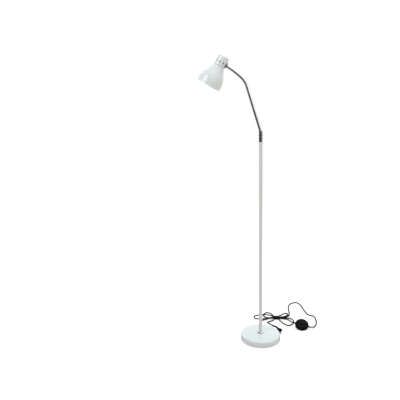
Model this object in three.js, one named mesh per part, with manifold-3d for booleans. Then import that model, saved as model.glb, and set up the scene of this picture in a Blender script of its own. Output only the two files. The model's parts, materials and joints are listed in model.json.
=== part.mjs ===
import * as THREE from "three";
import { mergeVertices } from "three/addons/utils/BufferGeometryUtils.js";
import Module from "manifold-3d";

// A floor-standing examination lamp. Millimetres, +Z up. The origin is on the floor under the pole axis.
// The head reaches towards -X. The cable and the foot switch lie towards +X and +Y.

// Base
const BASE_RADIUS = 115;
const BASE_CORNER = 8; // rounding between the side and the top of the cover
const BASE_EDGE = 36.5; // height where the rounding meets the dome
const BASE_CROWN = 39.5; // height of the flat middle of the cover
const BASE_SHEET = 1.5;
const FOOT_HEIGHT = 7.5;
const FOOT_RADIUS = 9;
const FOOT_CIRCLE = 90;
const FOOT_ANGLE = -62; // degrees from +X to the first foot
const PLATE_TOP = 9.5;
const PLATE_OPENING = 14; // radius of the hole under the stem, closed by a rubber plug
const WEIGHT_RADIUS = 110;
const WEIGHT_RIM = 95; // inner radius of the thick rim
const WEB_BOTTOM = 28;
const WEB_TOP = 34;
const RIM_TOP = 31; // top of the weight at its outer edge
const STEM_RADIUS = 5;
const STEM_BORE = 3.4;
const COLLAR_RADIUS = 16.5;
const COLLAR_TOP = 45;
const ENTRY_HEIGHT = 16; // where the cable enters the back of the base
const LEAD_HEIGHT = 13.5; // where the lead leaves the terminal block

// Pole
const POLE_RADIUS = 10;
const POLE_WALL = 1.2;
const POLE_FOOT = 42.5;
const POLE_TOP = 1161;
const POLE_SECTION = (POLE_TOP - POLE_FOOT) / 3;
const BUSH_RADIUS = 8.6;
const TOP_RING = 1169; // top of the pale ring on the pole

// Gooseneck
const FERRULE_TOP = 1228; // pivot of the first link
const NECK_RADIUS = 9;
const NECK_LEAN = 107; // degrees from +X of the straight part
const NECK_STRAIGHT = 250;
const NECK_BENDS = [[50, 29], [101, 12]]; // length and turn in degrees of each bend
const NECK_LINKS = 9;
const BALL_RADIUS = 7.2;
const SOCKET_RADIUS = 7.5;
const NECK_BORE = 3.2;
const BEND_RANGE = 24; // degrees each way of the joints that bend the neck in its own plane
const SWAY_RANGE = 20; // degrees each way of the joints between them, which bend it sideways

// Head, along its own axis from the rim of the shade
const SHADE_LENGTH = 115;
const SHADE_SHEET = 1.2;
const SHADE_OUTLINE = [ // radius and distance from the rim
  [67, 0], [67, 17], [66, 33], [62.5, 48], [57, 63],
  [47.5, 81], [37.5, 99], [31, 110], [28.5, SHADE_LENGTH],
];
const HOUSING_RADIUS = 31;
const HOUSING_TOP = 172;
const HOUSING_CORNER = 8;
const HOUSING_SHEET = 1.2;
const ENTRY_ALONG = 132.5; // where the gooseneck meets the housing
const FLANGE_RADIUS = 18.5;
const FLANGE_FACE = 33.3; // from the head axis to the near face of the flange
const FLANGE_THICK = 2.5;
const VENT_COUNT = 7;
const VENT_SPACING = 39.5; // degrees round the housing, from the side away from the gooseneck
const VENT_WIDTH = 5.5;
const VENT_HEIGHT = 11;
const VENT_ALONG = 135;
const HOLDER_RADIUS = 19.5;
const HOLDER_TOP = 150;
const BULB_RADIUS = 30;
const BULB_TIP = 24;
const CAP_RADIUS = 13.1;

// Cable set
const CABLE_RADIUS = 3.6;
const FLOOR_ROW = 3.9; // height of the cable centre on the floor
const CROSS_ROW = 12; // height of a strand that lies over another
const TIE_LOW = 5.6; // heights of the two rows of strands in the tie
const TIE_HIGH = 13.4;
const TIE_X = 100;
const TIE_Y = 259;
const TIE_HALF = 6; // half the width of the tie along the strands
const STRAND = 7.6; // spacing of the strands in the tie
const SWITCH_RADIUS = 40.5;
const SWITCH_SPOT = [252.5, 147, 16.9];
const SWITCH_TILT = 24; // leans towards the front on its stiff cable
const SWITCH_TURN = -17;
const SWITCH_EXIT = 6.2; // height of the cable above the bottom of the switch
const PLUG_SPOT = [122, 68.2, 14.6];
const PLUG_HEADING = -57;
const PLUG_PITCH = 10;
const PLUG_ROLL = 145;
const PLUG_LENGTH = 36;
const PLUG_RELIEF = 43; // end of the sleeve where the cable leaves the plug
const PIN_SPACING = 18.6;
const PIN_RADIUS = 2;
const PIN_LENGTH = 19;

const GAP = 0.3; // clearance between neighbouring pieces
const DEGREE = Math.PI / 180;

const wasm = await Module();
wasm.setup();

// Materials

function coat(color, roughness, metalness) {
  return new THREE.MeshStandardMaterial({ color, roughness, metalness });
}

const enamel = () => coat(0xe3e9ea, 0.28, 0);
const chrome = () => coat(0xb9bcc0, 0.16, 1);
const darkChrome = () => coat(0x3b3d41, 0.28, 0.9);
const steel = () => coat(0x96999c, 0.4, 1);
const castIron = () => coat(0x3d3e40, 0.8, 0.6);
const brass = () => coat(0xc2a25c, 0.35, 1);
const rubber = () => coat(0x17181a, 0.85, 0);
const blackPlastic = () => coat(0x121413, 0.35, 0);
const whitePlastic = () => coat(0xdedcd4, 0.5, 0);
const opalGlass = () => coat(0xf3f1e8, 0.3, 0);

// Geometry helpers

function piece(name, geometry, material) {
  const mesh = new THREE.Mesh(geometry, material);
  mesh.name = name;
  return mesh;
}

// Turns a profile of [radius, height] points round the Z axis.
function turned(profile, segments = 24) {
  const points = profile.map(([r, z]) => new THREE.Vector2(r, z));
  return new THREE.LatheGeometry(points, segments).rotateX(Math.PI / 2);
}

// A plain ring, or a tube, between two radii and two heights.
function ring(inner, outer, low, high, segments = 24) {
  return turned([[inner, low], [outer, low], [outer, high], [inner, high], [inner, low]], segments);
}

function rod(radius, low, high, segments = 16) {
  return turned([[0, low], [radius, low], [radius, high], [0, high]], segments);
}

// Points of a profile arc from one angle to another, in degrees from the radial direction.
function arc(r, z, radius, from, to, steps) {
  const points = [];
  for (let i = 0; i <= steps; i++) {
    const angle = (from + ((to - from) * i) / steps) * DEGREE;
    points.push([r + radius * Math.cos(angle), z + radius * Math.sin(angle)]);
  }
  return points;
}

// A profile moved sideways by the wall thickness, towards the inside.
function inset(profile, wall) {
  return profile.map((point, i) => {
    const before = profile[Math.max(i - 1, 0)];
    const after = profile[Math.min(i + 1, profile.length - 1)];
    const along = new THREE.Vector2(after[0] - before[0], after[1] - before[1]).normalize();
    return [point[0] - along.y * wall, point[1] + along.x * wall];
  });
}

// A sheet-metal wall that follows a profile.
function shell(profile, wall, segments) {
  return turned([...profile, ...inset(profile, wall).reverse(), profile[0]], segments);
}

function block(width, depth, height, x, y, z) {
  return new THREE.BoxGeometry(width, depth, height).translate(x, y, z);
}

function hexagon(radius, bore, low, high) {
  const outline = new THREE.Shape();
  for (let i = 0; i < 6; i++) {
    const angle = i * 60 * DEGREE;
    const corner = [radius * Math.cos(angle), radius * Math.sin(angle)];
    if (i === 0) outline.moveTo(...corner);
    else outline.lineTo(...corner);
  }
  outline.closePath();
  outline.holes.push(new THREE.Path().absarc(0, 0, bore, 0, 2 * Math.PI, true));
  const options = { depth: high - low, bevelEnabled: false, curveSegments: 10 };
  return new THREE.ExtrudeGeometry(outline, options).translate(0, 0, low);
}

// A round cable along a smooth curve.
function cable(points, radius, steps) {
  const path = new THREE.CatmullRomCurve3(points.map((p) => new THREE.Vector3(...p)), false, "centripetal");
  return swept(path, radius, steps);
}

function swept(path, radius, steps, sides = 6) {
  const outline = new THREE.Shape();
  for (let i = 0; i < sides; i++) {
    const angle = (i * 2 * Math.PI) / sides;
    const corner = [radius * Math.cos(angle), radius * Math.sin(angle)];
    if (i === 0) outline.moveTo(...corner);
    else outline.lineTo(...corner);
  }
  outline.closePath();
  return new THREE.ExtrudeGeometry(outline, { steps, bevelEnabled: false, extrudePath: path });
}

function solid(geometry) {
  const bare = geometry.clone();
  bare.deleteAttribute("normal");
  bare.deleteAttribute("uv");
  const merged = mergeVertices(bare);
  const vertProperties = merged.attributes.position.array;
  return new wasm.Manifold(new wasm.Mesh({ numProp: 3, vertProperties, triVerts: merged.index.array }));
}

function geometryOf(body) {
  const { vertProperties, triVerts } = body.getMesh();
  const geometry = new THREE.BufferGeometry();
  geometry.setAttribute("position", new THREE.BufferAttribute(vertProperties, 3));
  geometry.setIndex(new THREE.BufferAttribute(triVerts, 1));
  const flat = geometry.toNonIndexed();
  flat.computeVertexNormals();
  return flat;
}

function cut(geometry, ...tools) {
  return geometryOf(tools.reduce((body, tool) => body.subtract(solid(tool)), solid(geometry)));
}

function joined(geometry, ...others) {
  return geometryOf(others.reduce((body, other) => body.add(solid(other)), solid(geometry)));
}

// Turns a geometry built along Z so that it runs along +Y or along +X.
const alongY = (geometry) => geometry.rotateX(-Math.PI / 2);
const alongX = (geometry) => geometry.rotateY(Math.PI / 2);

// Base

function baseCover() {
  const corner = arc(BASE_RADIUS - BASE_CORNER, BASE_EDGE - BASE_CORNER, BASE_CORNER, 0, 90, 4);
  const dome = [80, 50, 20].map((r) => {
    const share = 1 - (r / (BASE_RADIUS - BASE_CORNER)) ** 2;
    return [r, BASE_EDGE + (BASE_CROWN - BASE_EDGE) * share];
  });
  dome[dome.length - 1][1] = BASE_CROWN;
  const outline = [[BASE_RADIUS, FOOT_HEIGHT], ...corner, ...dome, [STEM_RADIUS + GAP, BASE_CROWN]];
  const entry = alongY(rod(5.1, 100, 130)).translate(0, 0, ENTRY_HEIGHT);
  return cut(shell(outline, BASE_SHEET, 48), entry);
}

function baseWeight() {
  const hub = BASE_CROWN - BASE_SHEET - GAP;
  const body = turned([
    [WEIGHT_RIM, PLATE_TOP],
    [WEIGHT_RADIUS, PLATE_TOP],
    [WEIGHT_RADIUS, RIM_TOP],
    [WEIGHT_RIM, WEB_TOP],
    [25, WEB_TOP],
    [25, hub],
    [STEM_RADIUS + GAP, hub],
    [STEM_RADIUS + GAP, WEB_BOTTOM],
    [WEIGHT_RIM, WEB_BOTTOM],
    [WEIGHT_RIM, PLATE_TOP],
  ], 40);
  return cut(body, block(10, 40, 14, 0, 105, ENTRY_HEIGHT - 1));
}

function rubberFoot() {
  return turned([[0, 0], [FOOT_RADIUS - 1.2, 0], [FOOT_RADIUS, FOOT_HEIGHT], [0, FOOT_HEIGHT]], 16);
}

// The rubber plug that closes the hole in the plate and stands on the floor with the feet.
function basePlug() {
  const lip = PLATE_OPENING + 4;
  const neck = PLATE_OPENING - GAP;
  return turned([
    [0, 0],
    [lip - 1, 0],
    [lip, FOOT_HEIGHT],
    [neck, FOOT_HEIGHT],
    [neck, PLATE_TOP + 0.7],
    [0, PLATE_TOP + 0.7],
  ], 24);
}

function poleCollar() {
  return turned([
    [STEM_RADIUS + GAP, BASE_CROWN],
    [COLLAR_RADIUS, BASE_CROWN],
    [COLLAR_RADIUS, COLLAR_TOP - 2],
    [COLLAR_RADIUS - 2, COLLAR_TOP],
    [POLE_RADIUS + 0.2, COLLAR_TOP],
    [POLE_RADIUS + 0.2, POLE_FOOT],
    [STEM_RADIUS + GAP, POLE_FOOT],
    [STEM_RADIUS + GAP, BASE_CROWN],
  ], 28);
}

function cableGrommet() {
  const sleeve = turned([
    [CABLE_RADIUS + 0.2, 111],
    [4.8, 111],
    [4.8, BASE_RADIUS + GAP],
    [7.5, BASE_RADIUS + GAP],
    [6, 121],
    [CABLE_RADIUS + 0.2, 121],
    [CABLE_RADIUS + 0.2, 111],
  ], 16);
  return alongY(sleeve).translate(0, 0, ENTRY_HEIGHT);
}

function base() {
  const group = new THREE.Group();
  const plateEdge = BASE_RADIUS - BASE_SHEET - GAP;
  const nutTop = WEB_BOTTOM - 1.5;
  const nutBottom = nutTop - 5;
  const blockMiddle = PLATE_TOP + 5.1;
  group.add(
    piece("base_cover", baseCover(), enamel()),
    piece("base_weight", baseWeight(), castIron()),
    piece("base_plate", ring(PLATE_OPENING, plateEdge, FOOT_HEIGHT, PLATE_TOP, 40), steel()),
    piece("base_plug", basePlug(), rubber()),
    piece("base_stem", ring(STEM_BORE, STEM_RADIUS, nutBottom - 0.5, 66, 16), steel()),
    piece("base_washer", ring(STEM_RADIUS + GAP, 13, nutTop, WEB_BOTTOM, 20), steel()),
    piece("base_nut", hexagon(8.1, STEM_RADIUS + GAP, nutBottom, nutTop), steel()),
    piece("pole_collar", poleCollar(), steel()),
    piece("cable_grommet", cableGrommet(), rubber()),
    piece("terminal_block", block(16, 22, 9.6, 0, 57, blockMiddle), whitePlastic()),
  );
  for (let i = 0; i < 4; i++) {
    const foot = piece("foot_" + (i + 1), rubberFoot(), rubber());
    const angle = (FOOT_ANGLE + 90 * i) * DEGREE;
    foot.position.set(FOOT_CIRCLE * Math.cos(angle), FOOT_CIRCLE * Math.sin(angle), 0);
    group.add(foot);
  }
  return group;
}

// Pole

function poleTube(index) {
  const low = POLE_FOOT + index * POLE_SECTION;
  return ring(POLE_RADIUS - POLE_WALL, POLE_RADIUS, low, low + POLE_SECTION, 24);
}

function coupler(index) {
  const middle = POLE_FOOT + index * POLE_SECTION;
  return ring(4, BUSH_RADIUS, middle - 20, middle + 20, 16);
}

function topBush() {
  return turned([
    [STEM_RADIUS, POLE_TOP - 18],
    [BUSH_RADIUS, POLE_TOP - 18],
    [BUSH_RADIUS, POLE_TOP],
    [POLE_RADIUS + 0.4, POLE_TOP],
    [POLE_RADIUS + 0.4, TOP_RING - 1],
    [POLE_RADIUS, TOP_RING],
    [STEM_RADIUS, TOP_RING],
    [STEM_RADIUS, POLE_TOP - 18],
  ], 24);
}

// From the terminal block in the base, round a bend, and up through the stem and the pole.
function poleLead() {
  const radius = 2.8;
  const bend = 7;
  const path = new THREE.CurvePath();
  const start = new THREE.Vector3(0, 45.6, LEAD_HEIGHT);
  const turn = new THREE.Vector3(0, bend, LEAD_HEIGHT);
  const corner = new THREE.Vector3(0, 0, LEAD_HEIGHT);
  const up = new THREE.Vector3(0, 0, LEAD_HEIGHT + bend + 4);
  path.add(new THREE.LineCurve3(start, turn));
  path.add(new THREE.QuadraticBezierCurve3(turn, corner, up));
  return joined(swept(path, radius, 14, 8), rod(radius, up.z - 1, FERRULE_TOP - 13, 8));
}

function pole() {
  const group = new THREE.Group();
  group.add(
    piece("pole_tube_lower", poleTube(0), enamel()),
    piece("pole_tube_middle", poleTube(1), enamel()),
    piece("pole_tube_upper", poleTube(2), enamel()),
    piece("pole_foot_bush", ring(STEM_RADIUS + GAP, BUSH_RADIUS, POLE_FOOT, POLE_FOOT + 24, 16), steel()),
    piece("pole_coupler_lower", coupler(1), steel()),
    piece("pole_coupler_upper", coupler(2), steel()),
    piece("pole_top_bush", topBush(), whitePlastic()),
    piece("pole_lead", poleLead(), blackPlastic()),
  );
  return group;
}

// Gooseneck

// The hollow of a ball socket whose pivot is at the given height, from the bore to the mouth.
function socket(pivot) {
  const low = -Math.acos(NECK_BORE / SOCKET_RADIUS) / DEGREE;
  return arc(0, pivot, SOCKET_RADIUS, low, -4, 4);
}

function ferrule() {
  const spigot = STEM_RADIUS - GAP;
  const foot = POLE_TOP - 25;
  const low = TOP_RING + GAP;
  const grooves = [12, 30, 48].flatMap((height) => [
    [POLE_RADIUS, low + height - 1.5],
    [POLE_RADIUS - 1, low + height - 1],
    [POLE_RADIUS - 1, low + height + 1],
    [POLE_RADIUS, low + height + 1.5],
  ]);
  return turned([
    [NECK_BORE, foot],
    [spigot, foot],
    [spigot, low],
    [POLE_RADIUS, low],
    ...grooves,
    [POLE_RADIUS, FERRULE_TOP - 0.5],
    ...socket(FERRULE_TOP).reverse(),
    [NECK_BORE, foot],
  ], 20);
}

// One link, along Z, with its ball centred on the origin.
// "turn" is the most it ever tips from the link below.
function neckLink(length, turn, last) {
  const shoulder = turn + 2;
  const lowest = -Math.acos(NECK_BORE / BALL_RADIUS) / DEGREE;
  const ball = arc(0, 0, BALL_RADIUS, lowest, shoulder, 5);
  const outer = [NECK_RADIUS, NECK_RADIUS * Math.tan(shoulder * DEGREE)];
  const bored = STEM_RADIUS + GAP;
  const top = last
    ? [[NECK_RADIUS, length], [bored, length], [bored, length - 14], [NECK_BORE, length - 14]]
    : [[NECK_RADIUS, length - 0.5], ...socket(length).reverse()];
  return turned([...ball, outer, ...top, ball[0]], 16);
}

// Where the centre line of the gooseneck is, in the XZ plane, at a distance from the first pivot.
function neckPoint(distance) {
  const step = 0.5;
  let angle = NECK_LEAN;
  let x = 0;
  let z = FERRULE_TOP;
  for (let done = 0; done < distance; done += step) {
    const length = Math.min(step, distance - done);
    x += length * Math.cos(angle * DEGREE);
    z += length * Math.sin(angle * DEGREE);
    let start = NECK_STRAIGHT;
    for (const [reach, turn] of NECK_BENDS) {
      if (done >= start && done < start + reach) angle += (turn * length) / reach;
      start += reach;
    }
  }
  return { x, z, angle };
}

const NECK_LENGTH = NECK_STRAIGHT + NECK_BENDS.reduce((sum, [reach]) => sum + reach, 0);
const NECK_END = neckPoint(NECK_LENGTH);
const LINK_LENGTH = NECK_LENGTH / NECK_LINKS;

// The pivots of the links, and the end of the last one, which points straight into the housing.
function neckPivots() {
  const points = [];
  for (let i = 0; i < NECK_LINKS - 1; i++) points.push(neckPoint(i * LINK_LENGTH));
  const back = (NECK_END.angle + 180) * DEGREE;
  points.push({
    x: NECK_END.x + LINK_LENGTH * Math.cos(back),
    z: NECK_END.z + LINK_LENGTH * Math.sin(back),
  });
  points.push(NECK_END);
  return points;
}

function gooseneck() {
  const group = new THREE.Group();
  group.add(
    piece("ferrule", ferrule(), darkChrome()),
    piece("ferrule_nut", ring(STEM_RADIUS, 7.6, POLE_TOP - 24.5, POLE_TOP - 19.5, 16), steel()),
  );
  const pivots = neckPivots();
  let below = 90;
  for (let i = 0; i < NECK_LINKS; i++) {
    const from = pivots[i];
    const to = pivots[i + 1];
    const angle = Math.atan2(to.z - from.z, to.x - from.x) / DEGREE;
    const length = Math.hypot(to.x - from.x, to.z - from.z);
    const range = i % 2 ? SWAY_RANGE : BEND_RANGE;
    const most = angle - below + range;
    const link = piece("neck_link_" + (i + 1), neckLink(length, most, i === NECK_LINKS - 1), chrome());
    link.position.set(from.x, 0, from.z);
    link.rotation.y = (90 - angle) * DEGREE;
    group.add(link);
    below = angle;
  }
  return group;
}

// Head. Inside this group Z runs from the rim of the shade to the housing.
// The gooseneck comes in along -X.

function shade() {
  return shell([...SHADE_OUTLINE, [HOLDER_RADIUS + 0.8, SHADE_LENGTH]], SHADE_SHEET, 40);
}

function rearHousing() {
  const low = SHADE_LENGTH + GAP;
  const inner = HOUSING_RADIUS - HOUSING_CORNER;
  const outline = [
    [HOUSING_RADIUS, low],
    ...arc(inner, HOUSING_TOP - 1.5 - HOUSING_CORNER, HOUSING_CORNER, 0, 75, 3),
    [12, HOUSING_TOP],
    [2.3, HOUSING_TOP],
  ];
  const boss = alongX(rod(9, 28.3, FLANGE_FACE - GAP, 20)).translate(0, 0, ENTRY_ALONG);
  const bore = alongX(rod(STEM_RADIUS + GAP, 20, 40)).translate(0, 0, ENTRY_ALONG);
  const vents = [];
  for (let i = 0; i < VENT_COUNT; i++) {
    const angle = 180 + (i - (VENT_COUNT - 1) / 2) * VENT_SPACING;
    const slot = block(20, VENT_WIDTH, VENT_HEIGHT, HOUSING_RADIUS, 0, VENT_ALONG);
    vents.push(slot.rotateZ(angle * DEGREE));
  }
  const walls = joined(shell(outline, HOUSING_SHEET, 32), boss);
  return cut(walls, bore, ...vents);
}

function holderBody() {
  const flange = SHADE_LENGTH + GAP;
  return turned([
    [14.8, 106],
    [HOLDER_RADIUS, 106],
    [HOLDER_RADIUS, flange],
    [24, flange],
    [24, flange + 3],
    [16.6, flange + 5],
    [16.6, HOLDER_TOP],
    [6, HOLDER_TOP + 2],
    [6, HOUSING_TOP - HOUSING_SHEET - GAP],
    [2.3, HOUSING_TOP - HOUSING_SHEET - GAP],
    [2.3, 144],
    [0, 144],
    [0, 138],
    [14.8, 138],
    [14.8, 106],
  ], 28);
}

function holderShell() {
  return shell([[14.5, 108], [14.5, 137], [6, 137]], 1, 24);
}

function housingScrew() {
  return turned([
    [0, 145],
    [2, 145],
    [2, HOUSING_TOP + GAP],
    [5, HOUSING_TOP + GAP],
    [4, HOUSING_TOP + 2.3],
    [0, HOUSING_TOP + 3],
  ], 16);
}

function headLead() {
  const along = ENTRY_ALONG;
  const points = [
    [34, 0, along],
    [23, 0, along],
    [20, 0, along + 2],
    [19, 0, along + 8],
    [19, 0, along + 16],
    [14, 0, along + 24.5],
    [8, 0, along + 25],
  ];
  return cable(points, 1.6, 20);
}

function bulbGlobe() {
  const middle = BULB_TIP + BULB_RADIUS;
  const outline = [
    ...arc(0, middle, BULB_RADIUS, -90, 30, 8),
    [20.5, 85],
    [15.5, 96],
    [13, 104.2],
  ];
  const inner = inset(outline, 1).reverse();
  inner[inner.length - 1] = [0, BULB_TIP + 1];
  return turned([...outline, ...inner], 20);
}

function bulbCap() {
  return shell([[CAP_RADIUS, 104.5], [CAP_RADIUS, 126], [6.8, 131.6]], 0.8, 20);
}

function bulbContact() {
  return turned([[0, 128.5], [5, 128.5], [5, 131.6], [3.5, 133.5], [0, 133.5]], 16);
}

function head() {
  const group = new THREE.Group();
  const washer = ring(STEM_RADIUS + GAP, FLANGE_RADIUS, FLANGE_FACE, FLANGE_FACE + FLANGE_THICK, 28);
  const tip = ring(NECK_BORE, STEM_RADIUS, 22, FLANGE_FACE + FLANGE_THICK + 13, 16);
  const nut = hexagon(8.1, STEM_RADIUS + GAP, 24, 28);
  const ringTop = SHADE_LENGTH - SHADE_SHEET - GAP;
  const inHousing = (geometry) => alongX(geometry).translate(0, 0, ENTRY_ALONG);
  group.add(
    piece("shade", shade(), enamel()),
    piece("shade_ring", ring(HOLDER_RADIUS + GAP, 26, 108.5, ringTop, 24), whitePlastic()),
    piece("rear_housing", rearHousing(), enamel()),
    piece("housing_screw", housingScrew(), chrome()),
    piece("holder_body", holderBody(), blackPlastic()),
    piece("holder_shell", holderShell(), brass()),
    piece("holder_contact", rod(4.5, 133.9, 137.7, 12), brass()),
    piece("head_lead", headLead(), blackPlastic()),
    piece("bulb_globe", bulbGlobe(), opalGlass()),
    piece("bulb_cap", bulbCap(), brass()),
    piece("bulb_contact", bulbContact(), brass()),
    piece("neck_tip", inHousing(tip), steel()),
    piece("neck_flange", inHousing(washer), darkChrome()),
    piece("neck_lock_nut", inHousing(nut), steel()),
  );
  const lean = (180 - NECK_END.angle) * DEGREE;
  const across = FLANGE_FACE + FLANGE_THICK + GAP;
  group.rotation.y = lean;
  group.position.set(
    NECK_END.x - across * Math.cos(lean) - ENTRY_ALONG * Math.sin(lean),
    0,
    NECK_END.z + across * Math.sin(lean) - ENTRY_ALONG * Math.cos(lean),
  );
  return group;
}

// Foot switch, standing on its own XY plane, with the cable along X.

function switchBase() {
  const floor = [[0, 0], [SWITCH_RADIUS - 1, 0], [SWITCH_RADIUS, 1], [SWITCH_RADIUS, 10]];
  const inside = [[SWITCH_RADIUS - 2, 10], [SWITCH_RADIUS - 2, 2], [0, 2]];
  const hole = alongX(rod(CABLE_RADIUS + 0.4, -50, 50, 12)).translate(0, 0, SWITCH_EXIT);
  return cut(turned([...floor, ...inside], 32), hole);
}

function switchCover() {
  const outline = [
    [SWITCH_RADIUS, 10 + GAP],
    [SWITCH_RADIUS, 13],
    [SWITCH_RADIUS - 5, 20],
    [SWITCH_RADIUS - 11, 23.5],
    [15.4, 24.5],
  ];
  return shell(outline, 2, 32);
}

function switchButton() {
  return turned([[0, 17], [17.5, 17], [17.5, 19.5], [15, 20], [15, 25.5], [12, 27.5], [0, 28.5]], 24);
}

function switchSpring() {
  const turns = 4;
  const points = [];
  for (let i = 0; i <= turns * 8; i++) {
    const angle = (i * Math.PI) / 4;
    points.push([8 * Math.cos(angle), 8 * Math.sin(angle), 12.3 + (3.8 * i) / (turns * 8)]);
  }
  return cable(points, 0.4, turns * 10);
}

function switchRelief(side) {
  const sleeve = turned([
    [CABLE_RADIUS + 0.2, SWITCH_RADIUS + 0.5],
    [5.8, SWITCH_RADIUS + 0.5],
    [4.6, SWITCH_RADIUS + 9],
    [CABLE_RADIUS + 0.2, SWITCH_RADIUS + 9],
    [CABLE_RADIUS + 0.2, SWITCH_RADIUS + 0.5],
  ], 16);
  return alongX(sleeve).rotateZ(side < 0 ? Math.PI : 0).translate(0, 0, SWITCH_EXIT);
}

function footSwitch() {
  const group = new THREE.Group();
  group.add(
    piece("switch_base", switchBase(), blackPlastic()),
    piece("switch_cover", switchCover(), blackPlastic()),
    piece("switch_button", switchButton(), blackPlastic()),
    piece("switch_spring", switchSpring(), steel()),
    piece("switch_block", block(24, 18, 9, 0, 0, 6.8), whitePlastic()),
    piece("switch_relief_left", switchRelief(-1), rubber()),
    piece("switch_relief_right", switchRelief(1), rubber()),
  );
  group.rotation.set(SWITCH_TILT * DEGREE, 0, SWITCH_TURN * DEGREE);
  group.position.set(...SWITCH_SPOT);
  return group;
}

// Plug. Inside its own group Z runs from the cable to the pins and the pins are apart along X.

function plugBody() {
  const outline = new THREE.Shape([
    new THREE.Vector2(-14, 0),
    new THREE.Vector2(-14, -10),
    new THREE.Vector2(-6.3, -28),
    new THREE.Vector2(-5.8, -PLUG_LENGTH),
    new THREE.Vector2(5.8, -PLUG_LENGTH),
    new THREE.Vector2(6.3, -28),
    new THREE.Vector2(14, -10),
    new THREE.Vector2(14, 0),
  ]);
  const depth = 10;
  const bevel = 1.5;
  const bevels = { bevelThickness: bevel, bevelSize: bevel, bevelOffset: -bevel, bevelSegments: 1 };
  const body = new THREE.ExtrudeGeometry(outline, { depth, ...bevels }).translate(0, 0, -depth / 2);
  body.rotateX(Math.PI / 2);
  const root = 2 - PLUG_LENGTH;
  const relief = turned([[0, -PLUG_RELIEF], [5, -PLUG_RELIEF], [6, root], [0, root]], 16);
  const hole = rod(CABLE_RADIUS + 0.5, -PLUG_RELIEF - 5, -PLUG_LENGTH + 10, 12);
  const pinHole = (x) => rod(PIN_RADIUS + GAP, -8 - GAP, 5, 12).translate(x, 0, 0);
  return cut(joined(body, relief), hole, pinHole(PIN_SPACING / 2), pinHole(-PIN_SPACING / 2));
}

function plugPin(side) {
  const end = [[PIN_RADIUS, PIN_LENGTH - 1], [PIN_RADIUS / 2, PIN_LENGTH], [0, PIN_LENGTH]];
  const pin = turned([[0, -8], [PIN_RADIUS, -8], ...end], 12);
  return pin.translate((side * PIN_SPACING) / 2, 0, 0);
}

function plug() {
  const aim = new THREE.Group();
  const rolled = new THREE.Group();
  rolled.add(
    piece("plug_body", plugBody(), blackPlastic()),
    piece("plug_pin_1", plugPin(-1), chrome()),
    piece("plug_pin_2", plugPin(1), chrome()),
  );
  rolled.rotation.z = PLUG_ROLL * DEGREE;
  aim.rotation.set(0, (90 + PLUG_PITCH) * DEGREE, PLUG_HEADING * DEGREE, "ZYX");
  aim.position.set(...PLUG_SPOT);
  aim.add(rolled);
  return aim;
}

// Cable. Both strands lie on the floor and pass three times through the tie.

// A point of a group's own space, seen from the lamp.
function outside(group, ...points) {
  group.updateWorldMatrix(true, false);
  return points.map((point) => new THREE.Vector3(...point).applyMatrix4(group.matrixWorld).toArray());
}

// The straight stretch of a strand in the tie. "way" is 1 for a strand that runs towards +X.
function inTie(place, height, way) {
  return [-1, 0, 1].map((end) => [TIE_X + end * way * TIE_HALF, TIE_Y + place * STRAND, height]);
}

function lampSideCable(footSwitchGroup) {
  const inSwitch = [11, 6, -6].map((reach) => [SWITCH_RADIUS + reach, 0, SWITCH_EXIT]);
  const exit = outside(footSwitchGroup, ...inSwitch);
  return cable([
    [0, 69, ENTRY_HEIGHT],
    [0, 104, ENTRY_HEIGHT],
    [0, 122, ENTRY_HEIGHT],
    [0, 132, ENTRY_HEIGHT - 1.2],
    [0, 147, 10],
    [0, 163, FLOOR_ROW + 1.7],
    [0, 180, FLOOR_ROW],
    [1, 203, FLOOR_ROW],
    [9, 222, FLOOR_ROW],
    [25, 237, FLOOR_ROW],
    [42, 246, FLOOR_ROW + 0.8],
    [62, 254, 9.5],
    [82, 258.5, TIE_HIGH],
    ...inTie(0, TIE_HIGH, 1),
    [122, 259.5, TIE_HIGH],
    [146, 267, CROSS_ROW + 0.6],
    [163, 283, CROSS_ROW],
    [174, 301, 7],
    [178, 319, FLOOR_ROW],
    [171, 334, FLOOR_ROW],
    [158, 335, FLOOR_ROW],
    [144, 323, FLOOR_ROW],
    [132, 305, FLOOR_ROW + 0.7],
    [122, 288, 9],
    [114, 273, TIE_HIGH - 0.6],
    ...inTie(1, TIE_HIGH, -1),
    [84, 271, TIE_HIGH],
    [66, 280, CROSS_ROW + 0.6],
    [40, 289, CROSS_ROW],
    [20, 292, CROSS_ROW],
    [0, 296, 8],
    [-20, 296, FLOOR_ROW],
    [-36, 287, FLOOR_ROW],
    [-41, 269, FLOOR_ROW],
    [-34, 251, FLOOR_ROW + 0.7],
    [-18, 238, 8],
    [0, 232, CROSS_ROW],
    [20, 232, CROSS_ROW],
    [40, 236, CROSS_ROW],
    [60, 242, CROSS_ROW],
    [80, 248.5, TIE_HIGH],
    ...inTie(-1, TIE_HIGH, 1),
    [122, 251, TIE_HIGH],
    [148, 257, CROSS_ROW + 0.6],
    [170, 272, CROSS_ROW],
    [182, 293, 9],
    [186, 318, FLOOR_ROW + 0.6],
    [187, 345, FLOOR_ROW],
    [186, 385, FLOOR_ROW],
    [186, 428, FLOOR_ROW],
    [194, 467, FLOOR_ROW],
    [212, 493, FLOOR_ROW],
    [235, 506, FLOOR_ROW],
    [256, 497, FLOOR_ROW],
    [271, 460, FLOOR_ROW],
    [283, 408, FLOOR_ROW],
    [296, 355, FLOOR_ROW],
    [308, 326, FLOOR_ROW],
    [323, 314, FLOOR_ROW],
    [338, 309, FLOOR_ROW],
    [347, 289, FLOOR_ROW],
    [349, 253, FLOOR_ROW],
    [349, 218, FLOOR_ROW],
    [343, 189, FLOOR_ROW],
    [334, 166, 5],
    [324, 149, 8],
    [310, 134.5, 14.2],
    ...exit,
  ], CABLE_RADIUS, 190);
}

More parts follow.
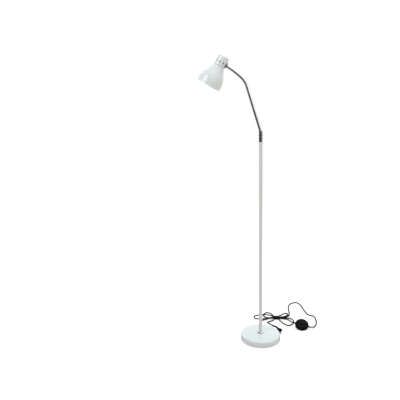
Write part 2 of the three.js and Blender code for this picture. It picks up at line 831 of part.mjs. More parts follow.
function plugSideCable(footSwitchGroup, plugGroup) {
  const inSwitch = [-6, 6, 10].map((reach) => [-SWITCH_RADIUS - reach, 0, SWITCH_EXIT]);
  const inPlug = [-4, 1, 15].map((reach) => [0, 0, reach - PLUG_RELIEF]);
  const exit = outside(footSwitchGroup, ...inSwitch);
  const entry = outside(plugGroup, ...inPlug);
  return cable([
    ...exit,
    [192, 170, 27],
    [184, 200, 20],
    [176, 230, 11],
    [163, 249, FLOOR_ROW + 2],
    [146, 257, FLOOR_ROW],
    [124, 259.4, TIE_LOW - 1],
    ...inTie(0, TIE_LOW, -1),
    [80, 260, TIE_LOW - 1],
    [60, 262.5, FLOOR_ROW],
    [42, 266, FLOOR_ROW],
    [28, 273, FLOOR_ROW],
    [21, 287, FLOOR_ROW],
    [21, 306, FLOOR_ROW],
    [27, 326, FLOOR_ROW],
    [40, 338, FLOOR_ROW],
    [56, 334, FLOOR_ROW],
    [71, 320, FLOOR_ROW],
    [80, 301, FLOOR_ROW],
    [83, 284, FLOOR_ROW],
    [86, 273, TIE_LOW - 1],
    ...inTie(1, TIE_LOW, 1),
    [116, 267.5, TIE_LOW - 1],
    [160, 269, FLOOR_ROW],
    [181, 266, FLOOR_ROW],
    [197, 258, FLOOR_ROW],
    [206, 243, FLOOR_ROW],
    [208, 224, FLOOR_ROW],
    [205, 205, FLOOR_ROW],
    [198, 187, FLOOR_ROW],
    [187, 174, FLOOR_ROW],
    [173, 168.5, FLOOR_ROW],
    [160, 174, FLOOR_ROW],
    [147, 187, FLOOR_ROW],
    [134, 209, FLOOR_ROW],
    [124, 229, FLOOR_ROW],
    [116, 244, TIE_LOW - 1],
    ...inTie(-1, TIE_LOW, -1),
    [86, 243, TIE_LOW - 1],
    [77, 227, FLOOR_ROW],
    [63, 215, FLOOR_ROW],
    [50, 208, FLOOR_ROW],
    [44.5, 200, FLOOR_ROW],
    [49, 192, FLOOR_ROW],
    [59, 180, 5],
    [73, 156, 9],
    [87, 127, 15.5],
    ...entry,
  ], CABLE_RADIUS, 130);
}

function cableTie() {
  const frame = (halfWide, halfHigh) => {
    const corner = 3;
    const outline = new THREE.Shape();
    outline.moveTo(-halfWide + corner, -halfHigh);
    outline.lineTo(halfWide - corner, -halfHigh);
    outline.quadraticCurveTo(halfWide, -halfHigh, halfWide, -halfHigh + corner);
    outline.lineTo(halfWide, halfHigh - corner);
    outline.quadraticCurveTo(halfWide, halfHigh, halfWide - corner, halfHigh);
    outline.lineTo(-halfWide + corner, halfHigh);
    outline.quadraticCurveTo(-halfWide, halfHigh, -halfWide, halfHigh - corner);
    outline.lineTo(-halfWide, -halfHigh + corner);
    outline.quadraticCurveTo(-halfWide, -halfHigh, -halfWide + corner, -halfHigh);
    return outline;
  };
  const halfWide = STRAND + CABLE_RADIUS + 1.8;
  const halfHigh = (TIE_HIGH - TIE_LOW) / 2 + CABLE_RADIUS + 0.6;
  const band = frame(halfWide + 0.9, halfHigh + 0.9);
  band.holes.push(frame(halfWide, halfHigh));
  const options = { depth: 2 * TIE_HALF, bevelEnabled: false, curveSegments: 3 };
  const geometry = new THREE.ExtrudeGeometry(band, options).rotateX(Math.PI / 2).rotateZ(Math.PI / 2);
  return geometry.translate(TIE_X - TIE_HALF, TIE_Y, (TIE_HIGH + TIE_LOW) / 2);
}

const lamp = new THREE.Group();
const footSwitchGroup = footSwitch();
const plugGroup = plug();
lamp.add(
  base(),
  pole(),
  gooseneck(),
  head(),
  footSwitchGroup,
  plugGroup,
  piece("cable_lamp_side", lampSideCable(footSwitchGroup), rubber()),
  piece("cable_plug_side", plugSideCable(footSwitchGroup, plugGroup.children[0]), rubber()),
  piece("cable_tie", cableTie(), blackPlastic()),
);

export default lamp;
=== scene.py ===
import json
import math
import bpy
import bmesh
from mathutils import Matrix, Vector

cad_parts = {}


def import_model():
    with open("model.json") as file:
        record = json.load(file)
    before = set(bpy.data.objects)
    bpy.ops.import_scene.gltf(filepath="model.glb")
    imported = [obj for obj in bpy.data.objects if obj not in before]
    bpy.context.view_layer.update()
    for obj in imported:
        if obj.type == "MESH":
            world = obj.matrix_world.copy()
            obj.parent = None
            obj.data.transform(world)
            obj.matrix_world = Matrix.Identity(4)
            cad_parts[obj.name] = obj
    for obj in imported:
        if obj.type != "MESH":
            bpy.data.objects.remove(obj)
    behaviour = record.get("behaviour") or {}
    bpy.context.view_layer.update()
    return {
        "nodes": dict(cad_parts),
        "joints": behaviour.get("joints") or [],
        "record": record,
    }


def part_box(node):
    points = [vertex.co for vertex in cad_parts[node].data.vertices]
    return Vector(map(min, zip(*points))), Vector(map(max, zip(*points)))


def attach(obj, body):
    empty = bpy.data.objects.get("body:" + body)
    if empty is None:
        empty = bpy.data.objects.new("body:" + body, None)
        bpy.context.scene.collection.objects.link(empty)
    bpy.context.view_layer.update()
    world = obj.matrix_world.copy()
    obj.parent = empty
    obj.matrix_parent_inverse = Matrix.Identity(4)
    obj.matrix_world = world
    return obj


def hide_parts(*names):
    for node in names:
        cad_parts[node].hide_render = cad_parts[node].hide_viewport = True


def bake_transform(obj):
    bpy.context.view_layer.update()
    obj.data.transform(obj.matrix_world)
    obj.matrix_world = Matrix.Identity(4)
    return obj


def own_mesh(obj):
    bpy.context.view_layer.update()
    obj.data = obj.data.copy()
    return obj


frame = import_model()
JOINTS = {joint["name"]: joint for joint in frame["joints"]}
MM = 0.001

# Lengths are in millimetres and angles in degrees. A profile is a row of (radius, height) points,
# with a third number, the radius of the curve, where a corner is rounded.

# Between neighbouring pieces
GAP = 0.3

# Base and pole
COVER_CORNER = 8
COVER_SHEET = 1.5
CROWN_RADIUS = 20
EDGE_HEIGHT = 36.5
DOME_STEPS = 13
GROMMET_HOLE = 5.1
GROMMET_SLEEVE = 4.8
GROMMET_LIP = 7.5
STEM_HOLE = 5.3
PLATE_OPENING = 14
# Height of the rubber gasket at the collar's foot. Its dark band also stands in for the contact shadow there,
# which is painted shade.
SHADOW_BAND_HEIGHT = 2.4
POLE_WALL = 1.2
BUSH_BORE = 5
BUSH_SPIGOT = 8.6

# Gooseneck
FERRULE_BORE = 3.2
FERRULE_SPIGOT = 4.7
FERRULE_RINGS = (12, 30, 48)
RING_DEPTH = 1.1
RING_HALF_FLOOR = 1
RING_HALF_MOUTH = 1.8
SOCKET_DEPTH = 14
SOCKET_CONE = 16
NECK_RADIUS = 9
NECK_BORE = 6.4
NECK_LEAN = 107
NECK_STRAIGHT = 250
NECK_BENDS = ((50, 29), (101, 12))
NECK_LENGTH = 401
NECK_LINKS = 9
NECK_LINE_START = -20
NECK_LINE_END = 411
NECK_LINE_STEP = 0.25
RIBS_PER_LINK = 13
FIRST_RIB = -3.5
LAST_RIB = 115.5
RIB_DEPTH = 0.55
RIB_ROUNDNESS = 0.7
RIB_STEPS = 6
RIB_SIDES = 24
LEAN_SPREAD = 8

# Head, along its own axis from the rim of the shade
ENTRY_ALONG = 132.5
SHADE_SHEET = 1.2
SHADE_RIM = 67
BEAD_HALF_WIDTH = 0.6
BEAD_HALF_HEIGHT = 1.2
BEAD_TOP = 2.5
SHADE_OUTLINE = (
    (67, 0), (67, 17), (66, 33), (62.5, 48), (57, 63), (47.5, 81), (37.5, 99), (31, 110), (28.5, 115),
)
SHADE_BACK = ((27, 115), (20.3, 115))
SHADE_LIP = ((65.6, 1.8), (65.8, 0.4))
SHADE_RING = ((19.8, 108.5, 0.4), (26, 108.5, 0.8), (26, 113.5, 0.5), (19.8, 113.5, 0.4))
HOUSING_RADIUS = 31
HOUSING_LOW = 115.3
HOUSING_STRAIGHT = 140
HOUSING_CORNER = 8
CORNER_HEIGHT = 162.5
HOUSING_BACK = ((18, 171.4), (12, 172), (2.3, 172))
HOUSING_SHEET = 1.2
HOUSING_SCREW = ((0, 145), (2, 145), (2, 172.3), (5, 172.3, 0.4), (4.6, 174, 1.2), (0, 175))
BOSS_RADIUS = 9
BOSS_SPREAD = 1.5
BOSS_FOOT = 30.2
FLANGE_RADIUS = 18.5
FLANGE_FACE = 33.3
FLANGE_RIM = 1.1
FLANGE_CROWN = 12.5
FLANGE_THICK = 2.5
CUP_RADIUS = 9.7
CUP_LENGTH = 3
CUP_FLOOR = 1.2
VENT_COUNT = 7
VENT_SPACING = 39.5
VENT_ALONG = 135
VENT_HALF_WIDTH = 2.75
VENT_REACH = 2.75
VENT_STEPS = 8
HOLDER = (
    (14.8, 106, 0.5), (19.5, 106, 0.8), (19.5, 115.3), (24, 115.3), (24, 118.3, 0.6), (16.6, 120.3, 0.8),
    (16.6, 150, 1), (6, 152, 0.8), (6, 170.5, 0.4), (2.3, 170.5), (2.3, 144), (0, 144), (0, 138), (14.8, 138),
)
BULB_RADIUS = 30
BULB_TIP = 24
BULB_GLASS = 1
BULB_NECK = ((20.5, 85), (15.5, 96), (13, 104.2))
THREAD_RADIUS = 13.1
THREAD_DEPTH = 0.45
THREAD_LOW = 104.5
THREAD_STEP = 0.55
THREAD_STEPS_PER_TURN = 6
THREAD_TURNS = 6
CAP_END = ((13.1, 126, 1), (6.8, 131.6))
CAP_INSIDE = ((6.3, 130.7), (11.9, 125.5), (11.9, 104.5))
BULB_CONTACT = ((0, 128.5), (5, 128.5), (5, 131.6, 0.5), (3.5, 133.5, 0.8), (0, 133.5))

# Foot switch
SWITCH_RADIUS = 40.5
SWITCH_TURN = -17
SWITCH_EXIT = 6.2
SWITCH_BASE_MIDDLE = 5
SWITCH_BASE = (
    (0, 0), (39.5, 0, 0.8), (40.5, 1.2, 0.8), (40.5, 10, 0.3), (38.5, 10, 0.3), (38.5, 2, 0.5), (0, 2),
)
SWITCH_COVER = (
    (40.5, 10.3, 0.3), (40.5, 13, 1.5), (35.5, 20, 2.5), (32.5, 21.8, 0.6), (31.5, 21.4, 0.4),
    (30.5, 22.6, 0.5), (24, 23.9, 3), (17.4, 24.5, 0.6), (15.4, 24.2, 0.5), (15.4, 22.4, 0.3), (27, 21.4),
    (34, 18.4), (38.5, 12.4), (38.5, 10.3),
)
BUTTON = (
    (0, 17), (17.5, 17, 0.3), (17.5, 19.5, 0.3), (15, 20), (15, 26, 1.6), (12.5, 28, 1.5), (6, 28.4, 3),
    (0, 27.6),
)
RELIEF_RIBS = 3
RELIEF_RIB_PITCH = 2.1
RELIEF_LENGTH = 9
SPRING_RADIUS = 8
SPRING_WIRE = 0.4
SPRING_TURNS = 4
SPRING_STEPS_PER_TURN = 16
SPRING_LOW = 12.3
SPRING_RISE = 3.8

# Plug, whose sections are (place along its axis, half width, half thickness). They go from a rounded box
# to an ellipse.
PLUG_SPOT = (122, 68.2, 14.6)
PLUG_HEADING = -57
PLUG_PITCH = 10
PLUG_ROLL = 145
PLUG_HOLE_END = -26
PLUG_RELIEF = 43
PLUG_SIDES = 40
BOX_UNTIL = 14
ELLIPSE_FROM = 34
PLUG_SECTIONS = (
    (0, 12.4, 5.0), (-0.4, 13.2, 5.8), (-1.4, 13.9, 6.4), (-5, 14, 6.5), (-9, 13.9, 6.5), (-13, 12.8, 6.5),
    (-18, 10.4, 6.4), (-23, 8.2, 6.3), (-28, 6.8, 6.2), (-31, 6.4, 6.1), (-34, 6.2, 6.1), (-34.3, 5.5, 5.4),
    (-35.3, 5.5, 5.4), (-35.6, 6.0, 6.0), (-37.4, 5.8, 5.8), (-37.7, 5.2, 5.2), (-38.7, 5.2, 5.2),
    (-39, 5.7, 5.7), (-40.8, 5.6, 5.6), (-41.1, 5.1, 5.1), (-42, 5.1, 5.1), (-42.3, 5.4, 5.4), (-43, 5.2, 5.2),
)
BOOT_LENGTH = 58
BOOT_REACH = 25
BOOT_THIN = 4.6
BOOT_THICK = 5.7
PIN_SPACING = 18.6
PIN_RADIUS = 2
PIN_LENGTH = 19
PIN_ROOT = 8

# Cable, by the height of its middle: on the floor, over one strand, where it leaves the base, in the tie
CABLE_RADIUS = 3.6
SLEEVE_BORE = 3.7
CABLE_BORE = 3.8
CABLE_STEPS = 8
FLOOR = 3.9
OVER = 12
ENTRY_HEIGHT = 16
TIE_SPOT = (100, 259)
TIE_HALF = 6
TIE_CORNER = 4
TIE_SLACK = 2.2
TIE_BAND = ((-6, 0.3), (-5.5, 0.5), (5.5, 0.5), (6, 0.3))
STRAND = 7.6
TIE_LOW = 5.6
TIE_HIGH = 13.4

# Finishes: colour, second colour, roughness from and to, grain, relief, blotches, metal,
# other shader values, stretch of the grain, pattern of the grain
COAT = {"Coat Weight": 0.5, "Coat Roughness": 0.08, "Specular IOR Level": 0.3}
THIN_COAT = {"Coat Weight": 0.04, "Coat Roughness": 0.15, "Specular IOR Level": 0.08}
DULL = {"Specular IOR Level": 0.05}
OPAL = {
    "Subsurface Weight": 0.3, "Subsurface Radius": (1, 0.95, 0.85), "Subsurface Scale": 0.01,
    "Coat Weight": 0.8, "Coat Roughness": 0.04,
}
EVEN = (1, 1, 1)
NOISE = "ShaderNodeTexNoise"
CELLS = "ShaderNodeTexVoronoi"
DRIFT_SPREAD = (0.35, 0.65)
DRIFT_DETAIL = 4
WEAR_SPREAD = (0.3, 0.7)
WEAR_SCALE = 7
WEAR_DETAIL = 5
GRAIN_DETAIL = 2
FINISHES = {
    "enamel": ((0.775, 0.855, 0.86), (0.75, 0.83, 0.84), (0.17, 0.27), 900, 0.04, 6, 0, COAT),
    # The pole's finish is a darker, greyer copy of the enamel: painted shade, so the pole reads dimmer than
    # the base and the shade.
    "shaded_pole_enamel": ((0.72, 0.745, 0.75), (0.70, 0.725, 0.73), (0.3, 0.42), 900, 0.04, 6, 0, THIN_COAT),
    "chrome": ((0.86, 0.865, 0.88), (0.80, 0.805, 0.82), (0.06, 0.16), 2500, 0.05, 30, 1),
    "dark_chrome": ((0.32, 0.322, 0.33), (0.25, 0.252, 0.26), (0.14, 0.26), 2500, 0.06, 40, 0.9),
    "steel": ((0.42, 0.43, 0.45), (0.33, 0.34, 0.355), (0.22, 0.40), 600, 0.25, 40, 1, {}, (1, 1, 9)),
    "cast_iron": ((0.045, 0.046, 0.05), (0.085, 0.08, 0.075), (0.6, 0.9), 700, 0.9, 30, 0.5),
    "brass": ((0.58, 0.40, 0.14), (0.45, 0.29, 0.10), (0.2, 0.42), 1500, 0.15, 60, 1),
    "rubber": ((0.007, 0.007, 0.0073), (0.012, 0.012, 0.0123), (0.42, 0.6), 2200, 0.25, 50, 0, DULL),
    "black_plastic": (
        (0.005, 0.0058, 0.0054), (0.009, 0.0102, 0.0096), (0.36, 0.52), 2600, 0.3, 45, 0, DULL, EVEN, CELLS,
    ),
    "white_plastic": ((0.70, 0.69, 0.65), (0.76, 0.755, 0.72), (0.38, 0.52), 1600, 0.15, 50, 0),
    "opal_glass": ((0.87, 0.86, 0.81), (0.80, 0.79, 0.75), (0.15, 0.24), 500, 0.04, 20, 0, OPAL),
}
PALE_FLOOR = ((0.93, 0.93, 0.93), (0.90, 0.90, 0.90), (0.7, 0.9), 300, 0.05, 2)
FLOOR_GRID = range(-12000, 12001, 1000)

# Camera, metres
CAMERA_SPOT = (0, -2.689, 1.470)
CAMERA_YAW = -7.21
CAMERA_PITCH = 12.98
CAMERA_ROLL = -1.55
CAMERA_LENS = 44.3
CAMERA_SENSOR = 36
CAMERA_REACH = 50

# Light. The tent is what matt surfaces see and the mirror world what bright ones see. A spread is where
# a direction starts and ends to count as the dark side, the zenith, or the dark part of the floor.
TENT_DARK_SIDE = (-0.35, -0.94, 0)
TENT_SPREAD = (-0.35, 0.7)
TENT_FRONT = (0.34, 0.345, 0.35)
TENT_BACK = (1, 1, 1)
TENT_TOP = (0.78, 0.78, 0.78)
ZENITH_SPREAD = (0.2, 1)
MIRROR_DARK_SIDE = (-0.87, -0.5, 0)
MIRROR_SPREAD = (0.1, 0.6)
MIRROR_BRIGHT = (1.05, 1.05, 1.05)
MIRROR_DARK = (0.09, 0.09, 0.094)
FLOOR_GLOW = 0.40
FLOOR_TO_MATT = (0.86, 0.73, 0.66)
FLOOR_SPREAD = (-1.6, 0.3)
FLOOR_BRIGHT_RIGHT = (0.75, 0.73, 0.70)
FLOOR_BRIGHT_LEFT = (0.07, 0.07, 0.07)

# Softboxes: spot, aim, size (metres), watts, whether bright surfaces mirror it, whether it lights bare metal
SOFTBOXES = {
    "left_softbox": ((-1.9, -1.75, 2.75), (-0.2, 0, 1.3), (1.2, 1.6), 33, True, False),
    "top_softbox": ((0.4, 0.3, 3.4), (0, 0, 0.6), (2.2, 2.2), 24, True, True),
    "right_softbox": ((2.2, -1.3, 1.1), (-0.3, 0, 1.3), (1.4, 1.4), 8, False, True),
}


# ---------------------------------------------------------------- materials

def node(tree, kind, **values):
    made = tree.nodes.new(kind)
    for key, value in values.items():
        if key in made.inputs:
            made.inputs[key].default_value = value
        else:
            setattr(made, key, value)
    return made


def ramp(tree, source, low, high, low_value=0, high_value=1):
    """A number that goes from low_value to high_value while source goes from low to high."""
    made = node(tree, "ShaderNodeMapRange")
    for key, value in zip(("From Min", "From Max", "To Min", "To Max"), (low, high, low_value, high_value)):
        made.inputs[key].default_value = value
    tree.links.new(source, made.inputs["Value"])
    return made.outputs["Result"]


def blended(tree, share, first, second, **values):
    """A mix of two colours, each given as three numbers or as the output of a node."""
    made = node(tree, "ShaderNodeMix", data_type="RGBA", **values)
    for key, colour in (("A", first), ("B", second)):
        if isinstance(colour, tuple):
            made.inputs[key].default_value = (*colour, 1)
        else:
            tree.links.new(colour, made.inputs[key])
    tree.links.new(share, made.inputs["Factor"])
    return made.outputs["Result"]


def dot_with(tree, vector, direction):
    """How far a vector reaches in a direction."""
    made = node(tree, "ShaderNodeVectorMath", operation="DOT_PRODUCT")
    tree.links.new(vector, made.inputs[0])
    made.inputs[1].default_value = Vector(direction).normalized()
    return made.outputs["Value"]


def pattern(tree, scale, detail, stretch=EVEN, kind=NOISE):
    """Noise or cells in the object's own space."""
    place = node(tree, "ShaderNodeTexCoord")
    mapping = node(tree, "ShaderNodeMapping", Scale=stretch)
    made = node(tree, kind, Scale=scale)
    if "Detail" in made.inputs:
        made.inputs["Detail"].default_value = detail
    tree.links.new(place.outputs["Object"], mapping.inputs["Vector"])
    tree.links.new(mapping.outputs["Vector"], made.inputs["Vector"])
    return made.outputs["Fac"] if kind == NOISE else made.outputs["Distance"]


def finish_material(name, colour, tint, rough, grain, bump, blotch, metallic=0, extra=(), stretch=EVEN,
                    kind=NOISE):
    """A surface whose colour drifts from colour to tint, with a roughness range and a fine relief."""
    material = bpy.data.materials.new(name)
    material.use_nodes = True
    tree = material.node_tree
    shader = tree.nodes["Principled BSDF"]
    shader.inputs["Metallic"].default_value = metallic
    for key, value in dict(extra).items():
        shader.inputs[key].default_value = value
    drift = ramp(tree, pattern(tree, blotch, DRIFT_DETAIL), *DRIFT_SPREAD)
    tree.links.new(blended(tree, drift, colour, tint), shader.inputs["Base Color"])
    wear = pattern(tree, blotch * WEAR_SCALE, WEAR_DETAIL, stretch)
    tree.links.new(ramp(tree, wear, *WEAR_SPREAD, *rough), shader.inputs["Roughness"])
    relief = node(tree, "ShaderNodeBump", Strength=bump, Distance=0.3 / grain)
    tree.links.new(pattern(tree, grain, GRAIN_DETAIL, stretch, kind), relief.inputs["Height"])
    tree.links.new(relief.outputs["Normal"], shader.inputs["Normal"])
    return material


MATERIALS = {name: finish_material(name, *values) for name, values in FINISHES.items()}


# ---------------------------------------------------------------- geometry

def rounded(points, steps=5):
    """A closed outline with each corner that carries a third number, its radius, turned into a curve."""
    made = []
    for i, point in enumerate(points):
        if len(point) < 3:
            made.append(point)
            continue
        before, corner, after = (Vector(points[j % len(points)][:2]) for j in (i - 1, i, i + 1))
        back, ahead = before - corner, after - corner
        half = back.angle(ahead) / 2
        reach = min(point[2] / math.tan(half), back.length * 0.49, ahead.length * 0.49)
        start, end = corner + back.normalized() * reach, corner + ahead.normalized() * reach
        for k in range(steps + 1):
            t = k / steps
            spot = start * (1 - t) ** 2 + corner * 2 * t * (1 - t) + end * t ** 2
            made.append((spot.x, spot.y))
    return made


def smooth_line(points, per_span):
    """Points of a centripetal Catmull-Rom curve through the given points."""
    points = [Vector(p) for p in points]
    full = [points[0] * 2 - points[1], *points, points[-1] * 2 - points[-2]]
    made = []
    for i in range(1, len(full) - 2):
        p0, p1, p2, p3 = full[i - 1:i + 3]
        gaps = [max((b - a).length, 1e-6) ** 0.5 for a, b in ((p0, p1), (p1, p2), (p2, p3))]
        first = ((p1 - p0) / gaps[0] - (p2 - p0) / (gaps[0] + gaps[1]) + (p2 - p1) / gaps[1]) * gaps[1]
        last = ((p2 - p1) / gaps[1] - (p3 - p1) / (gaps[1] + gaps[2]) + (p3 - p2) / gaps[2]) * gaps[1]
        for k in range(per_span):
            t = k / per_span
            a = 2 * t ** 3 - 3 * t ** 2 + 1
            b = t ** 3 - 2 * t ** 2 + t
            c = -2 * t ** 3 + 3 * t ** 2
            d = t ** 3 - t ** 2
            made.append(p1 * a + first * b + p2 * c + last * d)
    made.append(points[-1])
    return made


def inset(line, wall):
    """An open profile moved sideways by the wall thickness, towards the axis."""
    made = []
    for i, point in enumerate(line):
        before, after = Vector(line[max(i - 1, 0)]), Vector(line[min(i + 1, len(line) - 1)])
        ahead = (after - before).normalized()
        made.append((point[0] - ahead.y * wall, point[1] + ahead.x * wall))
    return made


def sheet(outer, wall):
    """The closed profile of a sheet from its outer side."""
    return [*outer, *reversed(inset(outer, wall))]


def arc(centre, height, radius, angles, tall=None):
    """Points of a circle in a profile, or of an ellipse that is tall along the axis."""
    angles = [math.radians(a) for a in angles]
    return [(centre + radius * math.cos(a), height + (tall or radius) * math.sin(a)) for a in angles]


def smooth_profile(points, per_span):
    return [(p.x, p.y) for p in smooth_line([(*p, 0) for p in points], per_span)]


class Build:
    """Vertices and faces of one piece, in millimetres."""

    def __init__(self):
        self.vertices = []
        self.faces = []

    def ring(self, points):
        first = len(self.vertices)
        self.vertices.extend(Vector(p) for p in points)
        return list(range(first, len(self.vertices)))

    def skin(self, a, b, closed=True):
        """Quads between two rings of equal count, or triangles to a single point."""
        count = max(len(a), len(b))
        for i in range(count if closed else count - 1):
            j = (i + 1) % count
            face = [a[i % len(a)], a[j % len(a)], b[j % len(b)], b[i % len(b)]]
            face = [v for k, v in enumerate(face) if v not in face[:k]]
            if len(face) > 2:
                self.faces.append(face)

    def lathe(self, profile, segments, place=Matrix.Identity(4)):
        """Turns a closed profile of (radius, height) round Z."""
        rings = []
        for radius, height in profile:
            count = 1 if abs(radius) < 1e-6 else segments
            angles = [2 * math.pi * i / segments for i in range(count)]
            rings.append(self.ring(
                place @ Vector((radius * math.cos(a), radius * math.sin(a), height)) for a in angles))
        for i, a in enumerate(rings):
            b = rings[(i + 1) % len(rings)]
            if len(a) > 1 or len(b) > 1:
                self.skin(a, b)

    def loft(self, sections):
        """Skins closed sections one after another and closes both ends."""
        rings = [self.ring(section) for section in sections]
        for a, b in zip(rings, rings[1:]):
            self.skin(a, b)
        self.faces.append(list(reversed(rings[0])))
        self.faces.append(rings[-1])

    def tube(self, line, start_radius, sides=16, end_radius=None):
        """A round bar along a line of points, which may taper."""
        line = [Vector(p) for p in line]
        end_radius = end_radius or start_radius
        directions = [(line[min(i + 1, len(line) - 1)] - line[max(i - 1, 0)]).normalized()
                      for i in range(len(line))]
        side = directions[0].orthogonal().normalized()
        sections = []
        for i, (spot, direction) in enumerate(zip(line, directions)):
            radius = start_radius + (end_radius - start_radius) * i / (len(line) - 1)
            side = (side - direction * side.dot(direction)).normalized()
            across = direction.cross(side)
            angles = [2 * math.pi * i / sides for i in range(sides)]
            sections.append([spot + side * radius * math.cos(a) + across * radius * math.sin(a)
                             for a in angles])
        self.loft(sections)

    def mesh(self, name):
        mesh = bpy.data.meshes.new(name)
        mesh.from_pydata([v * MM for v in self.vertices], [], self.faces)
        work = bmesh.new()
        work.from_mesh(mesh)
        bmesh.ops.remove_doubles(work, verts=work.verts, dist=1e-7)
        bmesh.ops.recalc_face_normals(work, faces=work.faces)
        work.to_mesh(mesh)
        work.free()
        return mesh


def soften(mesh, angle):
    mesh.shade_smooth()
    mesh.set_sharp_from_angle(angle=math.radians(angle))


def add_piece(build, name, slot, body, replaces=(), angle=35, cutters=(), finish=None):
    """Makes the object, cuts it, gives it its finish and joins it to its body."""
    made = bpy.data.objects.new(name, build.mesh(name))
    bpy.context.scene.collection.objects.link(made)
    for cutter in cutters:
        subtract(made, cutter)
    made.data.materials.clear()
    made.data.materials.append(MATERIALS[finish or slot])
    soften(made.data, angle)
    if body:
        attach(made, body)
    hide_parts(*replaces)
    return made


def subtract(target, cutter):
    """Cuts the shape of a Build out of an object."""
    tool = bpy.data.objects.new("cutter", cutter.mesh("cutter"))
    bpy.context.scene.collection.objects.link(tool)
    modifier = target.modifiers.new("cut", "BOOLEAN")
    modifier.object = tool
    modifier.operation = "DIFFERENCE"
    modifier.solver = "EXACT"
    bpy.context.view_layer.update()
    evaluated = target.evaluated_get(bpy.context.evaluated_depsgraph_get())
    result = bpy.data.meshes.new_from_object(evaluated)
    target.modifiers.clear()
    target.data = result
    bpy.data.objects.remove(tool)


def turned_piece(name, slot, body, profile, replaces=(), segments=64, place=Matrix.Identity(4), angle=35,
                 cutters=(), finish=None):
    build = Build()
    build.lathe(rounded(profile), segments, place)
    return add_piece(build, name, slot, body, replaces, angle, cutters, finish)


def rod(radius, low, high, place=Matrix.Identity(4), segments=32):
    build = Build()
    build.lathe(((0, low), (radius, low), (radius, high), (0, high)), segments, place)
    return build


def centre_of(node_name):
    low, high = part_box(node_name)
    return (low + high) / 2 / MM


def height_of(node_name):
    low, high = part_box(node_name)
    return low.z / MM, high.z / MM


def radius_of(node_name):
    low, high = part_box(node_name)
    return (high.x - low.x) / 2 / MM


def turn(degrees, axis):
    return Matrix.Rotation(math.radians(degrees), 4, axis)


ALONG_X = turn(90, "Y")
ALONG_Y = turn(-90, "X")


# ---------------------------------------------------------------- base and pole

def base_cover():
    radius = radius_of("base_cover")
    low, high = height_of("base_cover")
    reach = radius - COVER_CORNER
    corner = arc(reach, EDGE_HEIGHT - COVER_CORNER, COVER_CORNER, range(0, 91, 9))
    dome = []
    for i in range(1, DOME_STEPS + 1):
        r = reach + (CROWN_RADIUS - reach) * i / DOME_STEPS
        share = (1 - (r / reach) ** 2) / (1 - (CROWN_RADIUS / reach) ** 2)
        dome.append((r, EDGE_HEIGHT + (high - EDGE_HEIGHT) * share))
    outer = [(radius, low), (radius, low + 1), *corner, *dome, (STEM_HOLE, high)]
    entry = Matrix.Translation((0, 0, centre_of("cable_grommet").z)) @ ALONG_Y
    hole = rod(GROMMET_HOLE, radius - 15, radius + 15, entry)
    profile = sheet(outer, COVER_SHEET)
    turned_piece("base_cover_shell", "enamel", "stand", profile, ["base_cover"], segments=128, cutters=[hole])


def base_floor():
    radius = radius_of("base_plate")
    low, high = height_of("base_plate")
    profile = [(PLATE_OPENING, low, 0.4), (radius, low, 0.6), (radius, high, 0.4), (PLATE_OPENING, high, 0.4)]
    turned_piece("base_plate_disc", "steel", "stand", profile, ["base_plate"], segments=96)
    lip, top = radius_of("base_plug"), height_of("base_plug")[1]
    waist = PLATE_OPENING - GAP
    profile = [(0, 0), (lip - 1, 0, 0.6), (lip, low, 0.6), (waist, low), (waist, top, 0.5), (0, top)]
    turned_piece("base_rubber_plug", "rubber", "stand", profile, ["base_plug"], segments=48)
    for i in range(1, 5):
        name = f"foot_{i}"
        spot = centre_of(name)
        wide, high = radius_of(name), height_of(name)[1]
        profile = [(0, 0), (wide - 1.2, 0, 0.6), (wide, high, 0.5), (0, high)]
        place = Matrix.Translation((spot.x, spot.y, 0))
        turned_piece(f"rubber_{name}", "rubber", "stand", profile, [name], segments=40, place=place)


def pole_collar():
    """The ring at the foot of the pole, with a black rubber gasket as its lowest band. That dark band is real
    and also painted shade: the contact shadow under the ring.
    """
    radius = radius_of("pole_collar")
    low, high = height_of("pole_collar")
    bore = radius_of("pole_tube_lower") + 0.2
    seat = height_of("pole_tube_lower")[0]
    shadow_band_top = low + SHADOW_BAND_HEIGHT
    profile = [
        (STEM_HOLE, low), (radius + 0.4, low, 0.4), (radius + 0.4, shadow_band_top), (radius, shadow_band_top),
        (radius, high - 2.4, 0.6), (radius - 2.4, high - 0.6, 1.2), (radius - 4.2, high, 0.8),
        (bore, high, 0.3), (bore, seat), (STEM_HOLE, seat),
    ]
    made = turned_piece("pole_collar_ring", "steel", "stand", profile, ["pole_collar"], finish="chrome")
    # The lowest band takes the black rubber. It is a real gasket and also painted shade: the contact shadow
    # under the ring.
    made.data.materials.append(MATERIALS["rubber"])
    for face in made.data.polygons:
        if face.center.z / MM < shadow_band_top:
            face.material_index = 1


def cable_grommet():
    low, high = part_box("cable_grommet")
    start, end = low.y / MM, high.y / MM
    wall = radius_of("base_cover") + GAP
    profile = [
        (SLEEVE_BORE, start), (GROMMET_SLEEVE, start, 0.3), (GROMMET_SLEEVE, wall), (GROMMET_LIP, wall, 0.8),
        (GROMMET_LIP - 0.4, wall + 2.2, 0.8), (GROMMET_LIP - 1.5, end - 1, 1), (SLEEVE_BORE, end, 0.6),
    ]
    place = Matrix.Translation((0, 0, centre_of("cable_grommet").z)) @ ALONG_Y
    turned_piece("grommet_sleeve", "rubber", "stand", profile, ["cable_grommet"], segments=32, place=place)


